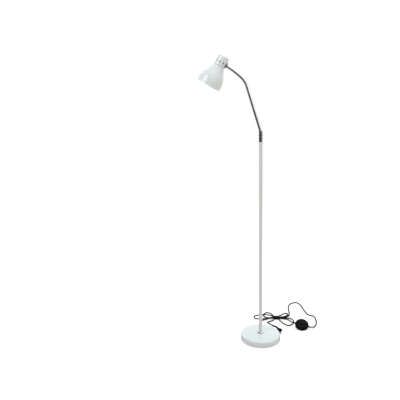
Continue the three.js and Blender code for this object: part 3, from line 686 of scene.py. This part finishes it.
def pole():
    for name in ("pole_tube_lower", "pole_tube_middle", "pole_tube_upper"):
        radius = radius_of(name)
        low, high = height_of(name)
        bore = radius - POLE_WALL
        profile = [(bore, low), (radius, low, 0.35), (radius, high, 0.35), (bore, high)]
        visual_name = name.replace("tube", "length")
        # The pole gets the darker copy of the enamel, which is painted shade.
        turned_piece(visual_name, "enamel", "stand", profile, [name], finish="shaded_pole_enamel")
    radius = radius_of("pole_top_bush")
    low, high = height_of("pole_top_bush")
    tube_top = height_of("pole_tube_upper")[1]
    profile = [
        (BUSH_BORE, low), (BUSH_SPIGOT, low, 0.5), (BUSH_SPIGOT, tube_top), (radius, tube_top, 0.5),
        (radius, high - 1, 0.8), (radius - 1, high, 0.6), (BUSH_BORE, high),
    ]
    turned_piece("pole_top_ring", "white_plastic", "stand", profile, ["pole_top_bush"], segments=48)


# ---------------------------------------------------------------- gooseneck

def neck_turns():
    """Where the angle of the centre line changes: start, reach and turn in degrees."""
    turns = [(-LEAN_SPREAD, 2 * LEAN_SPREAD, NECK_LEAN - 90)]
    start = NECK_STRAIGHT
    for reach, bend in NECK_BENDS:
        turns.append((start, reach, bend))
        start += reach
    return turns


def neck_angle(distance):
    total = 90
    for start, reach, bend in neck_turns():
        total += bend * min(max((distance - start) / reach, 0), 1)
    return math.radians(total)


def neck_line():
    """The centre line by distance from the first pivot, as a function."""
    start, step = NECK_LINE_START, NECK_LINE_STEP
    foot = Vector(JOINTS["neck_bend_low_1"]["pos_m"]) / MM
    spots = [foot + Vector((0, 0, start))]
    count = int((NECK_LINE_END - start) / step)
    for i in range(count):
        angle = neck_angle(start + (i + 0.5) * step)
        spots.append(spots[-1] + Vector((math.cos(angle), 0, math.sin(angle))) * step)

    def at(distance):
        place = (distance - start) / step
        i = min(max(int(place), 0), len(spots) - 2)
        return spots[i].lerp(spots[i + 1], place - i)
    return at


def neck_section(line, start_rib, ribs, pitch):
    """One stretch of spiral tube. Both ends follow the spiral, so that stretches meet without a seam."""
    build = Build()

    def spot(distance, side, radius):
        angle = neck_angle(distance)
        ahead = Vector((math.cos(angle), 0, math.sin(angle)))
        across = Vector((-ahead.z, 0, ahead.x))
        theta = 2 * math.pi * side / RIB_SIDES
        return line(distance) + (across * math.cos(theta) + Vector((0, 1, 0)) * math.sin(theta)) * radius

    outer, inner = {}, {}
    for a in range((ribs + 1) * RIB_SIDES + 1):
        begin = (start_rib + a / RIB_SIDES) * pitch
        steps = RIB_STEPS if a <= ribs * RIB_SIDES else 1
        for k in range(steps):
            swell = math.sin(math.pi * k / RIB_STEPS) ** RIB_ROUNDNESS
            radius = NECK_RADIUS - RIB_DEPTH * (1 - swell)
            outer[a, k] = build.ring([spot(begin + k * pitch / RIB_STEPS, a, radius)])[0]
        inner[a] = build.ring([spot(begin, a, NECK_BORE)])[0]
    last = ribs * RIB_SIDES
    for a in range(last + 1):
        outer[a, RIB_STEPS] = outer[a + RIB_SIDES, 0]
    for a in range(last):
        for k in range(RIB_STEPS):
            build.faces.append([outer[a, k], outer[a + 1, k], outer[a + 1, k + 1], outer[a, k + 1]])
        build.faces.append([inner[a], inner[a + RIB_SIDES], inner[a + RIB_SIDES + 1], inner[a + 1]])
    for first in (0, last):
        for a in range(first, first + RIB_SIDES):
            build.faces.append([outer[a, 0], inner[a], inner[a + 1], outer[a + 1, 0]])
        column = [outer[first, k] for k in range(RIB_STEPS + 1)]
        build.faces.append(column + [inner[first + RIB_SIDES], inner[first]])
    return build


def gooseneck():
    link = NECK_LENGTH / NECK_LINKS
    pitch = link / RIBS_PER_LINK
    line = neck_line()
    pieces = []
    start = FIRST_RIB
    for i in range(1, NECK_LINKS + 1):
        end = (i - 0.5) * RIBS_PER_LINK if i < NECK_LINKS else LAST_RIB
        build = neck_section(line, start, round(end - start), pitch)
        made = add_piece(build, f"neck_tube_{i}", "chrome", None, [f"neck_link_{i}"], angle=50)
        bend_start = 0 if i == 1 else (start + 1) * pitch
        bend_end = (i - 0.5) * link
        line(bend_start) * MM
        line(bend_end) * MM
        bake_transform(made)
        pieces.append(made)
        start = end
    return pieces


def ferrule():
    radius = radius_of("ferrule")
    low, high = height_of("ferrule")
    seat = height_of("pole_top_bush")[1] + GAP
    socket = NECK_RADIUS + 0.5
    profile = [(FERRULE_BORE, low), (FERRULE_SPIGOT, low), (FERRULE_SPIGOT, seat), (radius, seat, 0.6)]
    for height in FERRULE_RINGS:
        middle = seat + height
        profile += [
            (radius, middle - RING_HALF_MOUTH, 0.5), (radius - RING_DEPTH, middle - RING_HALF_FLOOR, 0.5),
            (radius - RING_DEPTH, middle + RING_HALF_FLOOR, 0.5), (radius, middle + RING_HALF_MOUTH, 0.5),
        ]
    profile += [
        (radius, high, 0.7), (socket, high, 0.3), (socket, high - SOCKET_DEPTH),
        (FERRULE_BORE, high - SOCKET_CONE),
    ]
    return turned_piece("ferrule_sleeve", "dark_chrome", "arm", profile, ["ferrule"])


# ---------------------------------------------------------------- head

def head_place():
    """The head's own frame: Z from the rim of the shade to the housing, the gooseneck comes in along -X."""
    swivel, slide = JOINTS["head_swivel"], JOINTS["bulb_removal"]
    up = -Vector(slide["axis"]).normalized()
    along = -Vector(swivel["axis"]).normalized()
    side = up.cross(along)
    origin = Vector(swivel["pos_m"]) / MM - up * ENTRY_ALONG
    rows = Matrix((along, side, up)).transposed().to_4x4()
    return Matrix.Translation(origin) @ rows


def neck_entry(place):
    """The axis on which the gooseneck enters the housing, as a frame with Z away from the head."""
    return place @ Matrix.Translation((0, 0, ENTRY_ALONG)) @ ALONG_X


def shade(place):
    bead = arc(SHADE_RIM, BEAD_HALF_HEIGHT, BEAD_HALF_WIDTH, range(-80, 81, 20), BEAD_HALF_HEIGHT)
    curve = [p for p in smooth_profile(SHADE_OUTLINE, 5) if p[1] > BEAD_TOP] + list(SHADE_BACK)
    profile = [*bead, *curve, *reversed(inset(curve, SHADE_SHEET)), *SHADE_LIP]
    turned_piece("shade_bell", "enamel", "head", profile, ["shade"], segments=128, place=place)
    turned_piece("shade_fixing_ring", "white_plastic", "head", SHADE_RING, ["shade_ring"],
                 segments=64, place=place)


def housing(place):
    corner = arc(HOUSING_RADIUS - HOUSING_CORNER, CORNER_HEIGHT, HOUSING_CORNER, range(0, 76, 8))
    outer = [(HOUSING_RADIUS, HOUSING_LOW), (HOUSING_RADIUS, HOUSING_STRAIGHT), *corner, *HOUSING_BACK]
    entry = neck_entry(place)
    cutters = [rod(STEM_HOLE, 20, 40, entry)]
    for i in range(VENT_COUNT):
        angle = 180 + (i - (VENT_COUNT - 1) / 2) * VENT_SPACING
        spot = place @ turn(angle, "Z") @ Matrix.Translation((HOUSING_RADIUS, 0, VENT_ALONG))
        cutters.append(slot_shape(spot))
    profile = sheet(outer, HOUSING_SHEET)
    turned_piece("housing_shell", "enamel", "head", profile, ["rear_housing"],
                 segments=96, place=place, cutters=cutters)
    face = FLANGE_FACE - GAP
    profile = [
        (STEM_HOLE, BOSS_FOOT), (BOSS_RADIUS + BOSS_SPREAD, BOSS_FOOT), (BOSS_RADIUS, face, 0.8),
        (STEM_HOLE, face),
    ]
    turned_piece("housing_boss", "enamel", "head", profile, [], segments=48, place=entry)
    turned_piece("housing_cap_screw", "chrome", "head", HOUSING_SCREW, ["housing_screw"],
                 segments=32, place=place)


def slot_shape(spot):
    """A vent slot with round ends, along the head axis."""
    build = Build()
    outline = [(VENT_HALF_WIDTH * math.cos(a), VENT_REACH + VENT_HALF_WIDTH * math.sin(a))
               for a in [math.pi * i / VENT_STEPS for i in range(VENT_STEPS + 1)]]
    outline += [(-x, -z) for x, z in outline]
    build.loft([[spot @ Vector((x, y, z)) for y, z in outline] for x in (-6, 6)])
    return build


def holder(place):
    turned_piece("lamp_holder", "black_plastic", "head", HOLDER, ["holder_body"], segments=64, place=place)


def bulb(place):
    globe = arc(0, BULB_TIP + BULB_RADIUS, BULB_RADIUS, range(-90, 31, 6))
    outer = [(0, BULB_TIP), *globe[1:], *smooth_profile([globe[-1], *BULB_NECK], 4)[1:]]
    inner = [(0, BULB_TIP + BULB_GLASS), *inset(outer, BULB_GLASS)[1:]]
    turned_piece("bulb_glass", "opal_glass", "bulb", outer + inner[::-1], ["bulb_globe"],
                 segments=64, place=place, angle=60)
    thread = []
    for i in range(THREAD_TURNS * THREAD_STEPS_PER_TURN + 1):
        depth = THREAD_DEPTH * (1 - math.cos(2 * math.pi * i / THREAD_STEPS_PER_TURN))
        thread.append((THREAD_RADIUS - depth, THREAD_LOW + i * THREAD_STEP))
    profile = [*thread, *CAP_END, *CAP_INSIDE]
    turned_piece("bulb_screw_cap", "brass", "bulb", profile, ["bulb_cap"], segments=48, place=place, angle=60)
    turned_piece("bulb_tip_contact", "brass", "bulb", BULB_CONTACT, ["bulb_contact"], segments=32, place=place)


def flange(place):
    entry = neck_entry(place)
    high = FLANGE_FACE + FLANGE_THICK
    profile = [
        (STEM_HOLE, FLANGE_FACE), (FLANGE_RADIUS, FLANGE_FACE, 0.4),
        (FLANGE_RADIUS, FLANGE_FACE + FLANGE_RIM, 0.4), (FLANGE_CROWN, high, 0.8), (STEM_HOLE, high),
    ]
    turned_piece("neck_flange_disc", "dark_chrome", "neck_9", profile, ["neck_flange"],
                 segments=64, place=entry)
    low = high + GAP
    top, seat = low + CUP_LENGTH, low + CUP_FLOOR
    bore = NECK_RADIUS + 0.2
    profile = [
        (STEM_HOLE, low), (CUP_RADIUS, low, 0.3), (CUP_RADIUS - 0.1, top, 0.3), (bore, top, 0.2), (bore, seat),
        (STEM_HOLE, seat),
    ]
    turned_piece("neck_end_cup", "dark_chrome", "neck_9", profile, [], segments=48, place=entry)


def head():
    place = head_place()
    shade(place)
    housing(place)
    holder(place)
    bulb(place)
    flange(place)


# ---------------------------------------------------------------- foot switch, plug and cable

def switch_frame():
    """The switch's own frame, standing on its XY plane with the cable along X."""
    up = -Vector(JOINTS["switch_press"]["axis"]).normalized()
    origin = centre_of("switch_base") - up * SWITCH_BASE_MIDDLE
    tilt = math.degrees(math.atan2(-up.y, up.z))
    return Matrix.Translation(origin) @ turn(tilt, "X") @ turn(SWITCH_TURN, "Z")


def foot_switch():
    place = switch_frame()
    at_exit = place @ Matrix.Translation((0, 0, SWITCH_EXIT))
    hole = rod(CABLE_RADIUS + 0.4, -50, 50, at_exit @ ALONG_X)
    turned_piece("switch_lower_shell", "black_plastic", "stand", SWITCH_BASE, ["switch_base"], segments=96,
                 place=place, cutters=[hole])
    turned_piece("switch_upper_shell", "black_plastic", "stand", SWITCH_COVER, ["switch_cover"],
                 segments=96, place=place)
    turned_piece("switch_push_button", "black_plastic", "button", BUTTON, ["switch_button"],
                 segments=64, place=place)
    for spin, name in ((180, "switch_relief_left"), (0, "switch_relief_right")):
        along_cable = at_exit @ turn(spin, "Z") @ ALONG_X
        turned_piece(name + "_sleeve", "rubber", "stand", relief_profile(), [name],
                     segments=32, place=along_cable)
    switch_spring(place)


def relief_profile():
    """A cable sleeve with three soft ribs, from the side of the foot switch outwards."""
    start = SWITCH_RADIUS
    profile = [(SLEEVE_BORE, start + 0.5), (5.8, start + 0.5, 0.5), (5.7, start + 1.8, 0.2)]
    for i in range(RELIEF_RIBS):
        at = start + 2.2 + i * RELIEF_RIB_PITCH
        wide = 5.5 - i * 0.35
        profile += [
            (wide - 0.7, at, 0.2), (wide - 0.7, at + 0.7, 0.2), (wide, at + 0.8, 0.3),
            (wide - 0.1, at + 1.9, 0.3),
        ]
    return profile + [(4.2, start + RELIEF_LENGTH, 0.3), (SLEEVE_BORE, start + RELIEF_LENGTH)]


def switch_spring(place):
    steps = SPRING_TURNS * SPRING_STEPS_PER_TURN
    line = []
    for i in range(steps + 1):
        angle = 2 * math.pi * i / SPRING_STEPS_PER_TURN
        height = SPRING_LOW + SPRING_RISE * i / steps
        line.append(place @ Vector((SPRING_RADIUS * math.cos(angle), SPRING_RADIUS * math.sin(angle), height)))
    spring = Build()
    spring.tube(line, SPRING_WIRE, sides=8)
    made = add_piece(spring, "switch_return_spring", "steel", "stand", ["switch_spring"], angle=60)
    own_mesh(made)


def plug_frame():
    place = Matrix.Translation(PLUG_SPOT) @ turn(PLUG_HEADING, "Z") @ turn(90 + PLUG_PITCH, "Y")
    return place @ turn(PLUG_ROLL, "Z")


def plug():
    place = plug_frame()
    build = Build()
    sections = []
    for z, wide, thick in PLUG_SECTIONS:
        ellipse = min(max((-z - BOX_UNTIL) / (ELLIPSE_FROM - BOX_UNTIL), 0), 1)
        power = 0.5 + 0.5 * ellipse
        section = []
        for i in range(PLUG_SIDES):
            c, s = math.cos(2 * math.pi * i / PLUG_SIDES), math.sin(2 * math.pi * i / PLUG_SIDES)
            x = wide * math.copysign(abs(c) ** power, c)
            y = thick * math.copysign(abs(s) ** power, s)
            section.append(place @ Vector((x, y, z)))
        sections.append(section)
    build.loft(sections)
    pins = {number: place @ Matrix.Translation((side * PIN_SPACING / 2, 0, 0))
            for number, side in ((2, 1), (1, -1))}
    holes = [rod(CABLE_BORE, -PLUG_RELIEF - 5, PLUG_HOLE_END, place)]
    holes += [rod(PIN_RADIUS + 0.2, -PIN_ROOT - 0.2, 5, at) for at in pins.values()]
    add_piece(build, "plug_moulding", "black_plastic", "stand", ["plug_body"], angle=40, cutters=holes)
    profile = [
        (0, -PIN_ROOT), (PIN_RADIUS, -PIN_ROOT), (PIN_RADIUS, PIN_LENGTH - 1, 0.5),
        (PIN_RADIUS / 2, PIN_LENGTH, 0.4), (0, PIN_LENGTH),
    ]
    for number, at in sorted(pins.items()):
        turned_piece(f"plug_contact_pin_{number}", "chrome", "stand", profile, [f"plug_pin_{number}"],
                     segments=32, place=at)


def in_tie(place, height, way):
    """The straight stretch of a strand in the tie. way is 1 for a strand that runs towards +X."""
    return [(TIE_SPOT[0] + end * way * TIE_HALF, TIE_SPOT[1] + place * STRAND, height) for end in (-1, 0, 1)]


LAMP_SIDE = (
    (0, 69, ENTRY_HEIGHT), (0, 104, ENTRY_HEIGHT), (0, 122, ENTRY_HEIGHT), (0, 132, 14.8), (0, 147, 10),
    (0, 163, FLOOR + 1.7), (0, 180, FLOOR), (1, 203, FLOOR), (9, 222, FLOOR), (25, 237, FLOOR),
    (42, 246, FLOOR + 0.8), (62, 254, 9.5), (82, 258.5, TIE_HIGH), *in_tie(0, TIE_HIGH, 1),
    (122, 259.5, TIE_HIGH), (146, 267, OVER + 0.6), (163, 283, OVER), (174, 301, 7), (178, 319, FLOOR),
    (171, 334, FLOOR), (158, 335, FLOOR), (144, 323, FLOOR), (132, 305, FLOOR + 0.7), (122, 288, 9),
    (114, 273, TIE_HIGH - 0.6), *in_tie(1, TIE_HIGH, -1), (84, 271, TIE_HIGH), (66, 280, OVER + 0.6),
    (40, 289, OVER), (20, 292, OVER), (0, 296, 8), (-20, 296, FLOOR), (-36, 287, FLOOR), (-41, 269, FLOOR),
    (-34, 251, FLOOR + 0.7), (-18, 238, 8), (0, 232, OVER), (20, 232, OVER), (40, 236, OVER), (60, 242, OVER),
    (80, 248.5, TIE_HIGH), *in_tie(-1, TIE_HIGH, 1), (122, 251, TIE_HIGH), (148, 257, OVER + 0.6),
    (170, 272, OVER), (182, 293, 9), (186, 318, FLOOR + 0.6), (187, 345, FLOOR), (186, 385, FLOOR),
    (186, 428, FLOOR), (194, 467, FLOOR), (212, 493, FLOOR), (235, 506, FLOOR), (256, 497, FLOOR),
    (271, 460, FLOOR), (283, 408, FLOOR), (296, 355, FLOOR), (308, 326, FLOOR), (323, 314, FLOOR),
    (338, 309, FLOOR), (347, 289, FLOOR), (349, 253, FLOOR), (349, 218, FLOOR), (343, 189, FLOOR),
    (334, 166, 5), (324, 149, 8), (310, 134.5, 14.2),
)
PLUG_SIDE = (
    (192, 170, 27), (184, 200, 20), (176, 230, 11), (163, 249, FLOOR + 2), (146, 257, FLOOR),
    (124, 259.4, TIE_LOW - 1), *in_tie(0, TIE_LOW, -1), (80, 260, TIE_LOW - 1), (60, 262.5, FLOOR),
    (42, 266, FLOOR), (28, 273, FLOOR), (21, 287, FLOOR), (21, 306, FLOOR), (27, 326, FLOOR), (40, 338, FLOOR),
    (56, 334, FLOOR), (71, 320, FLOOR), (80, 301, FLOOR), (83, 284, FLOOR), (86, 273, TIE_LOW - 1),
    *in_tie(1, TIE_LOW, 1), (116, 267.5, TIE_LOW - 1), (160, 269, FLOOR), (181, 266, FLOOR), (197, 258, FLOOR),
    (206, 243, FLOOR), (208, 224, FLOOR), (205, 205, FLOOR), (198, 187, FLOOR), (187, 174, FLOOR),
    (173, 168.5, FLOOR), (160, 174, FLOOR), (147, 187, FLOOR), (134, 209, FLOOR), (124, 229, FLOOR),
    (116, 244, TIE_LOW - 1), *in_tie(-1, TIE_LOW, -1), (86, 243, TIE_LOW - 1), (77, 227, FLOOR),
    (63, 215, FLOOR), (50, 208, FLOOR), (44.5, 200, FLOOR), (49, 192, FLOOR), (59, 180, 5), (73, 156, 9),
    (87, 127, 15.5),
)


def cables():
    at_switch = switch_frame()
    at_plug = plug_frame()
    exit_right = [at_switch @ Vector((SWITCH_RADIUS + r, 0, SWITCH_EXIT)) for r in (11, 6, -6)]
    exit_left = [at_switch @ Vector((-SWITCH_RADIUS - r, 0, SWITCH_EXIT)) for r in (-6, 6, 10)]
    entry = [at_plug @ Vector((0, 0, r - PLUG_RELIEF)) for r in (-4, 1, 15)]
    for name, points in (
        ("cable_lamp_side", [*LAMP_SIDE, *exit_right]),
        ("cable_plug_side", [*exit_left, *PLUG_SIDE, *entry]),
    ):
        build = Build()
        line = smooth_line(points, CABLE_STEPS)
        build.tube(line, CABLE_RADIUS)
        add_piece(build, name.replace("cable", "flex"), "rubber", "stand", [name], angle=60)
    plug_boot(line)


def plug_boot(line):
    """The soft end of the plug's relief, a sleeve that tapers along the last stretch of the cable."""
    to_plug = plug_frame().inverted()
    low, high = -PLUG_RELIEF - BOOT_LENGTH, -PLUG_RELIEF - 0.6
    behind = [p for p in line if low < (to_plug @ p).z < high and (to_plug @ p).xy.length < BOOT_REACH]
    sleeve, hole = Build(), Build()
    sleeve.tube(behind, BOOT_THIN, sides=24, end_radius=BOOT_THICK)
    ends = [behind[0] * 2 - behind[1], behind[-1] * 2 - behind[-2]]
    hole.tube([ends[0], *behind, ends[1]], CABLE_BORE, sides=24)
    add_piece(sleeve, "plug_boot_sleeve", "black_plastic", "stand", [], angle=40, cutters=[hole])


def cable_tie():
    """A flat band round the two rows of strands."""
    build = Build()
    wide, tall = STRAND + CABLE_RADIUS + TIE_SLACK, (TIE_HIGH - TIE_LOW) / 2 + CABLE_RADIUS + 1
    middle = Vector((*TIE_SPOT, (TIE_HIGH + TIE_LOW) / 2))
    corners = ((-wide, -tall), (wide, -tall), (wide, tall), (-wide, tall))
    spots = [Vector((0, y, z)) for y, z in rounded([(*corner, TIE_CORNER) for corner in corners], steps=8)]
    section = [*TIE_BAND, *((x, -n) for x, n in reversed(TIE_BAND))]
    rings = []
    for i, spot in enumerate(spots):
        along_band = (spots[(i + 1) % len(spots)] - spots[i - 1]).normalized()
        out = along_band.cross(Vector((1, 0, 0)))
        rings.append(build.ring([spot + Vector((x, 0, 0)) + out * n + middle for x, n in section]))
    for i, ring in enumerate(rings):
        build.skin(ring, rings[(i + 1) % len(rings)])
    add_piece(build, "tie_band", "black_plastic", "stand", ["cable_tie"], angle=40)


# ---------------------------------------------------------------- carried-over CAD nodes

def finish_cad_nodes():
    slots = {part["node"]: part["material_slot"] for part in frame["record"]["subparts"]}
    for name, obj in frame["nodes"].items():
        obj.data.materials.clear()
        obj.data.materials.append(MATERIALS[slots[name]])
        if not obj.hide_render:
            soften(obj.data, 40)


# ---------------------------------------------------------------- stage

def camera():
    yaw, pitch, roll = (math.radians(v) for v in (CAMERA_YAW, CAMERA_PITCH, CAMERA_ROLL))
    ahead = Vector((math.sin(yaw) * math.cos(pitch), math.cos(yaw) * math.cos(pitch), -math.sin(pitch)))
    level = Vector((math.cos(yaw), -math.sin(yaw), 0))
    above = level.cross(ahead)
    right = level * math.cos(roll) + above * math.sin(roll)
    up = above * math.cos(roll) - level * math.sin(roll)
    data = bpy.data.cameras.new("camera")
    data.lens = CAMERA_LENS
    data.sensor_width = CAMERA_SENSOR
    data.clip_end = CAMERA_REACH
    made = bpy.data.objects.new("camera", data)
    made.matrix_world = Matrix.Translation(CAMERA_SPOT) @ Matrix((right, up, -ahead)).transposed().to_4x4()
    bpy.context.scene.collection.objects.link(made)
    bpy.context.scene.camera = made


def area_light(name, spot, target, size, power, mirrored, shielded):
    data = bpy.data.lights.new(name, "AREA")
    data.shape = "RECTANGLE"
    data.size, data.size_y = size
    data.energy = power
    made = bpy.data.objects.new(name, data)
    made.visible_camera = False
    made.visible_glossy = mirrored
    made.location = spot
    made.rotation_euler = (Vector(target) - Vector(spot)).to_track_quat("-Z", "Y").to_euler()
    bpy.context.scene.collection.objects.link(made)
    if shielded:
        group = bpy.data.collections.new(name + "_shielded")
        for obj in shielded:
            group.objects.link(obj)
        made.light_linking.receiver_collection = group
        for entry in group.collection_objects:
            entry.light_linking.link_state = "EXCLUDE"


def world():
    """White to the camera, a soft tent to matt surfaces, and a studio with a dark left side to bright ones."""
    made = bpy.data.worlds.new("studio")
    bpy.context.scene.world = made
    made.use_nodes = True
    made.cycles.sampling_method = "NONE"
    tree = made.node_tree
    tree.nodes.clear()
    path = node(tree, "ShaderNodeLightPath")
    direction = node(tree, "ShaderNodeTexCoord").outputs["Generated"]
    flat = node(tree, "ShaderNodeVectorMath", operation="MULTIPLY")
    tree.links.new(direction, flat.inputs[0])
    flat.inputs[1].default_value = (1, 1, 0)
    compass = node(tree, "ShaderNodeVectorMath", operation="NORMALIZE")
    tree.links.new(flat.outputs["Vector"], compass.inputs[0])

    front = ramp(tree, dot_with(tree, direction, TENT_DARK_SIDE), *TENT_SPREAD)
    zenith = ramp(tree, dot_with(tree, direction, (0, 0, 1)), *ZENITH_SPREAD)
    tent = blended(tree, zenith, blended(tree, front, TENT_BACK, TENT_FRONT), TENT_TOP, blend_type="MULTIPLY")
    left = ramp(tree, dot_with(tree, compass.outputs["Vector"], MIRROR_DARK_SIDE), *MIRROR_SPREAD)
    mirrored = blended(tree, left, MIRROR_BRIGHT, MIRROR_DARK)
    lit = blended(tree, path.outputs["Is Glossy Ray"], tent, mirrored)
    background = node(tree, "ShaderNodeBackground", Strength=1)
    tree.links.new(blended(tree, path.outputs["Is Camera Ray"], lit, (1, 1, 1)), background.inputs["Color"])
    out = node(tree, "ShaderNodeOutputWorld")
    tree.links.new(background.outputs["Background"], out.inputs["Surface"])


def mixed_shader(tree, share, first, second):
    made = node(tree, "ShaderNodeMixShader")
    tree.links.new(share, made.inputs["Fac"])
    tree.links.new(first, made.inputs[1])
    tree.links.new(second, made.inputs[2])
    return made.outputs["Shader"]


def floor():
    """Pale to the camera, warm to matt surfaces, and dark on the left to bright ones, as in a dark studio."""
    build = Build()
    rows = [build.ring([(x, y, 0) for x in FLOOR_GRID]) for y in FLOOR_GRID]
    for row, next_row in zip(rows, rows[1:]):
        build.skin(row, next_row, closed=False)
    made = bpy.data.objects.new("floor", build.mesh("floor"))
    bpy.context.scene.collection.objects.link(made)
    material = finish_material("pale_floor", *PALE_FLOOR)
    tree = material.node_tree
    shader = tree.nodes["Principled BSDF"]
    shader.inputs["Emission Color"].default_value = (1, 1, 1, 1)
    shader.inputs["Emission Strength"].default_value = FLOOR_GLOW
    shader.inputs["Specular IOR Level"].default_value = 0.1
    matt = node(tree, "ShaderNodeBsdfDiffuse", Color=(*FLOOR_TO_MATT, 1))
    spot = node(tree, "ShaderNodeNewGeometry").outputs["Position"]
    left = ramp(tree, dot_with(tree, spot, MIRROR_DARK_SIDE), *FLOOR_SPREAD)
    bright = node(tree, "ShaderNodeBsdfDiffuse")
    tree.links.new(blended(tree, left, FLOOR_BRIGHT_RIGHT, FLOOR_BRIGHT_LEFT), bright.inputs["Color"])
    path = node(tree, "ShaderNodeLightPath")
    unseen = mixed_shader(tree, path.outputs["Is Glossy Ray"], matt.outputs["BSDF"], bright.outputs["BSDF"])
    seen = mixed_shader(tree, path.outputs["Is Camera Ray"], unseen, shader.outputs["BSDF"])
    tree.links.new(seen, tree.nodes["Material Output"].inputs["Surface"])
    made.data.materials.append(material)


def stage(bare_metal):
    view = bpy.context.scene.view_settings
    view.view_transform = "Standard"
    view.look = "None"
    world()
    floor()
    for name, (spot, target, size, power, mirrored, on_metal) in SOFTBOXES.items():
        area_light(name, spot, target, size, power, mirrored, () if on_metal else bare_metal)
    camera()


base_cover()
base_floor()
pole_collar()
cable_grommet()
pole()
bare_metal = [ferrule(), *gooseneck()]
head()
foot_switch()
plug()
cables()
cable_tie()
finish_cad_nodes()
stage(bare_metal)
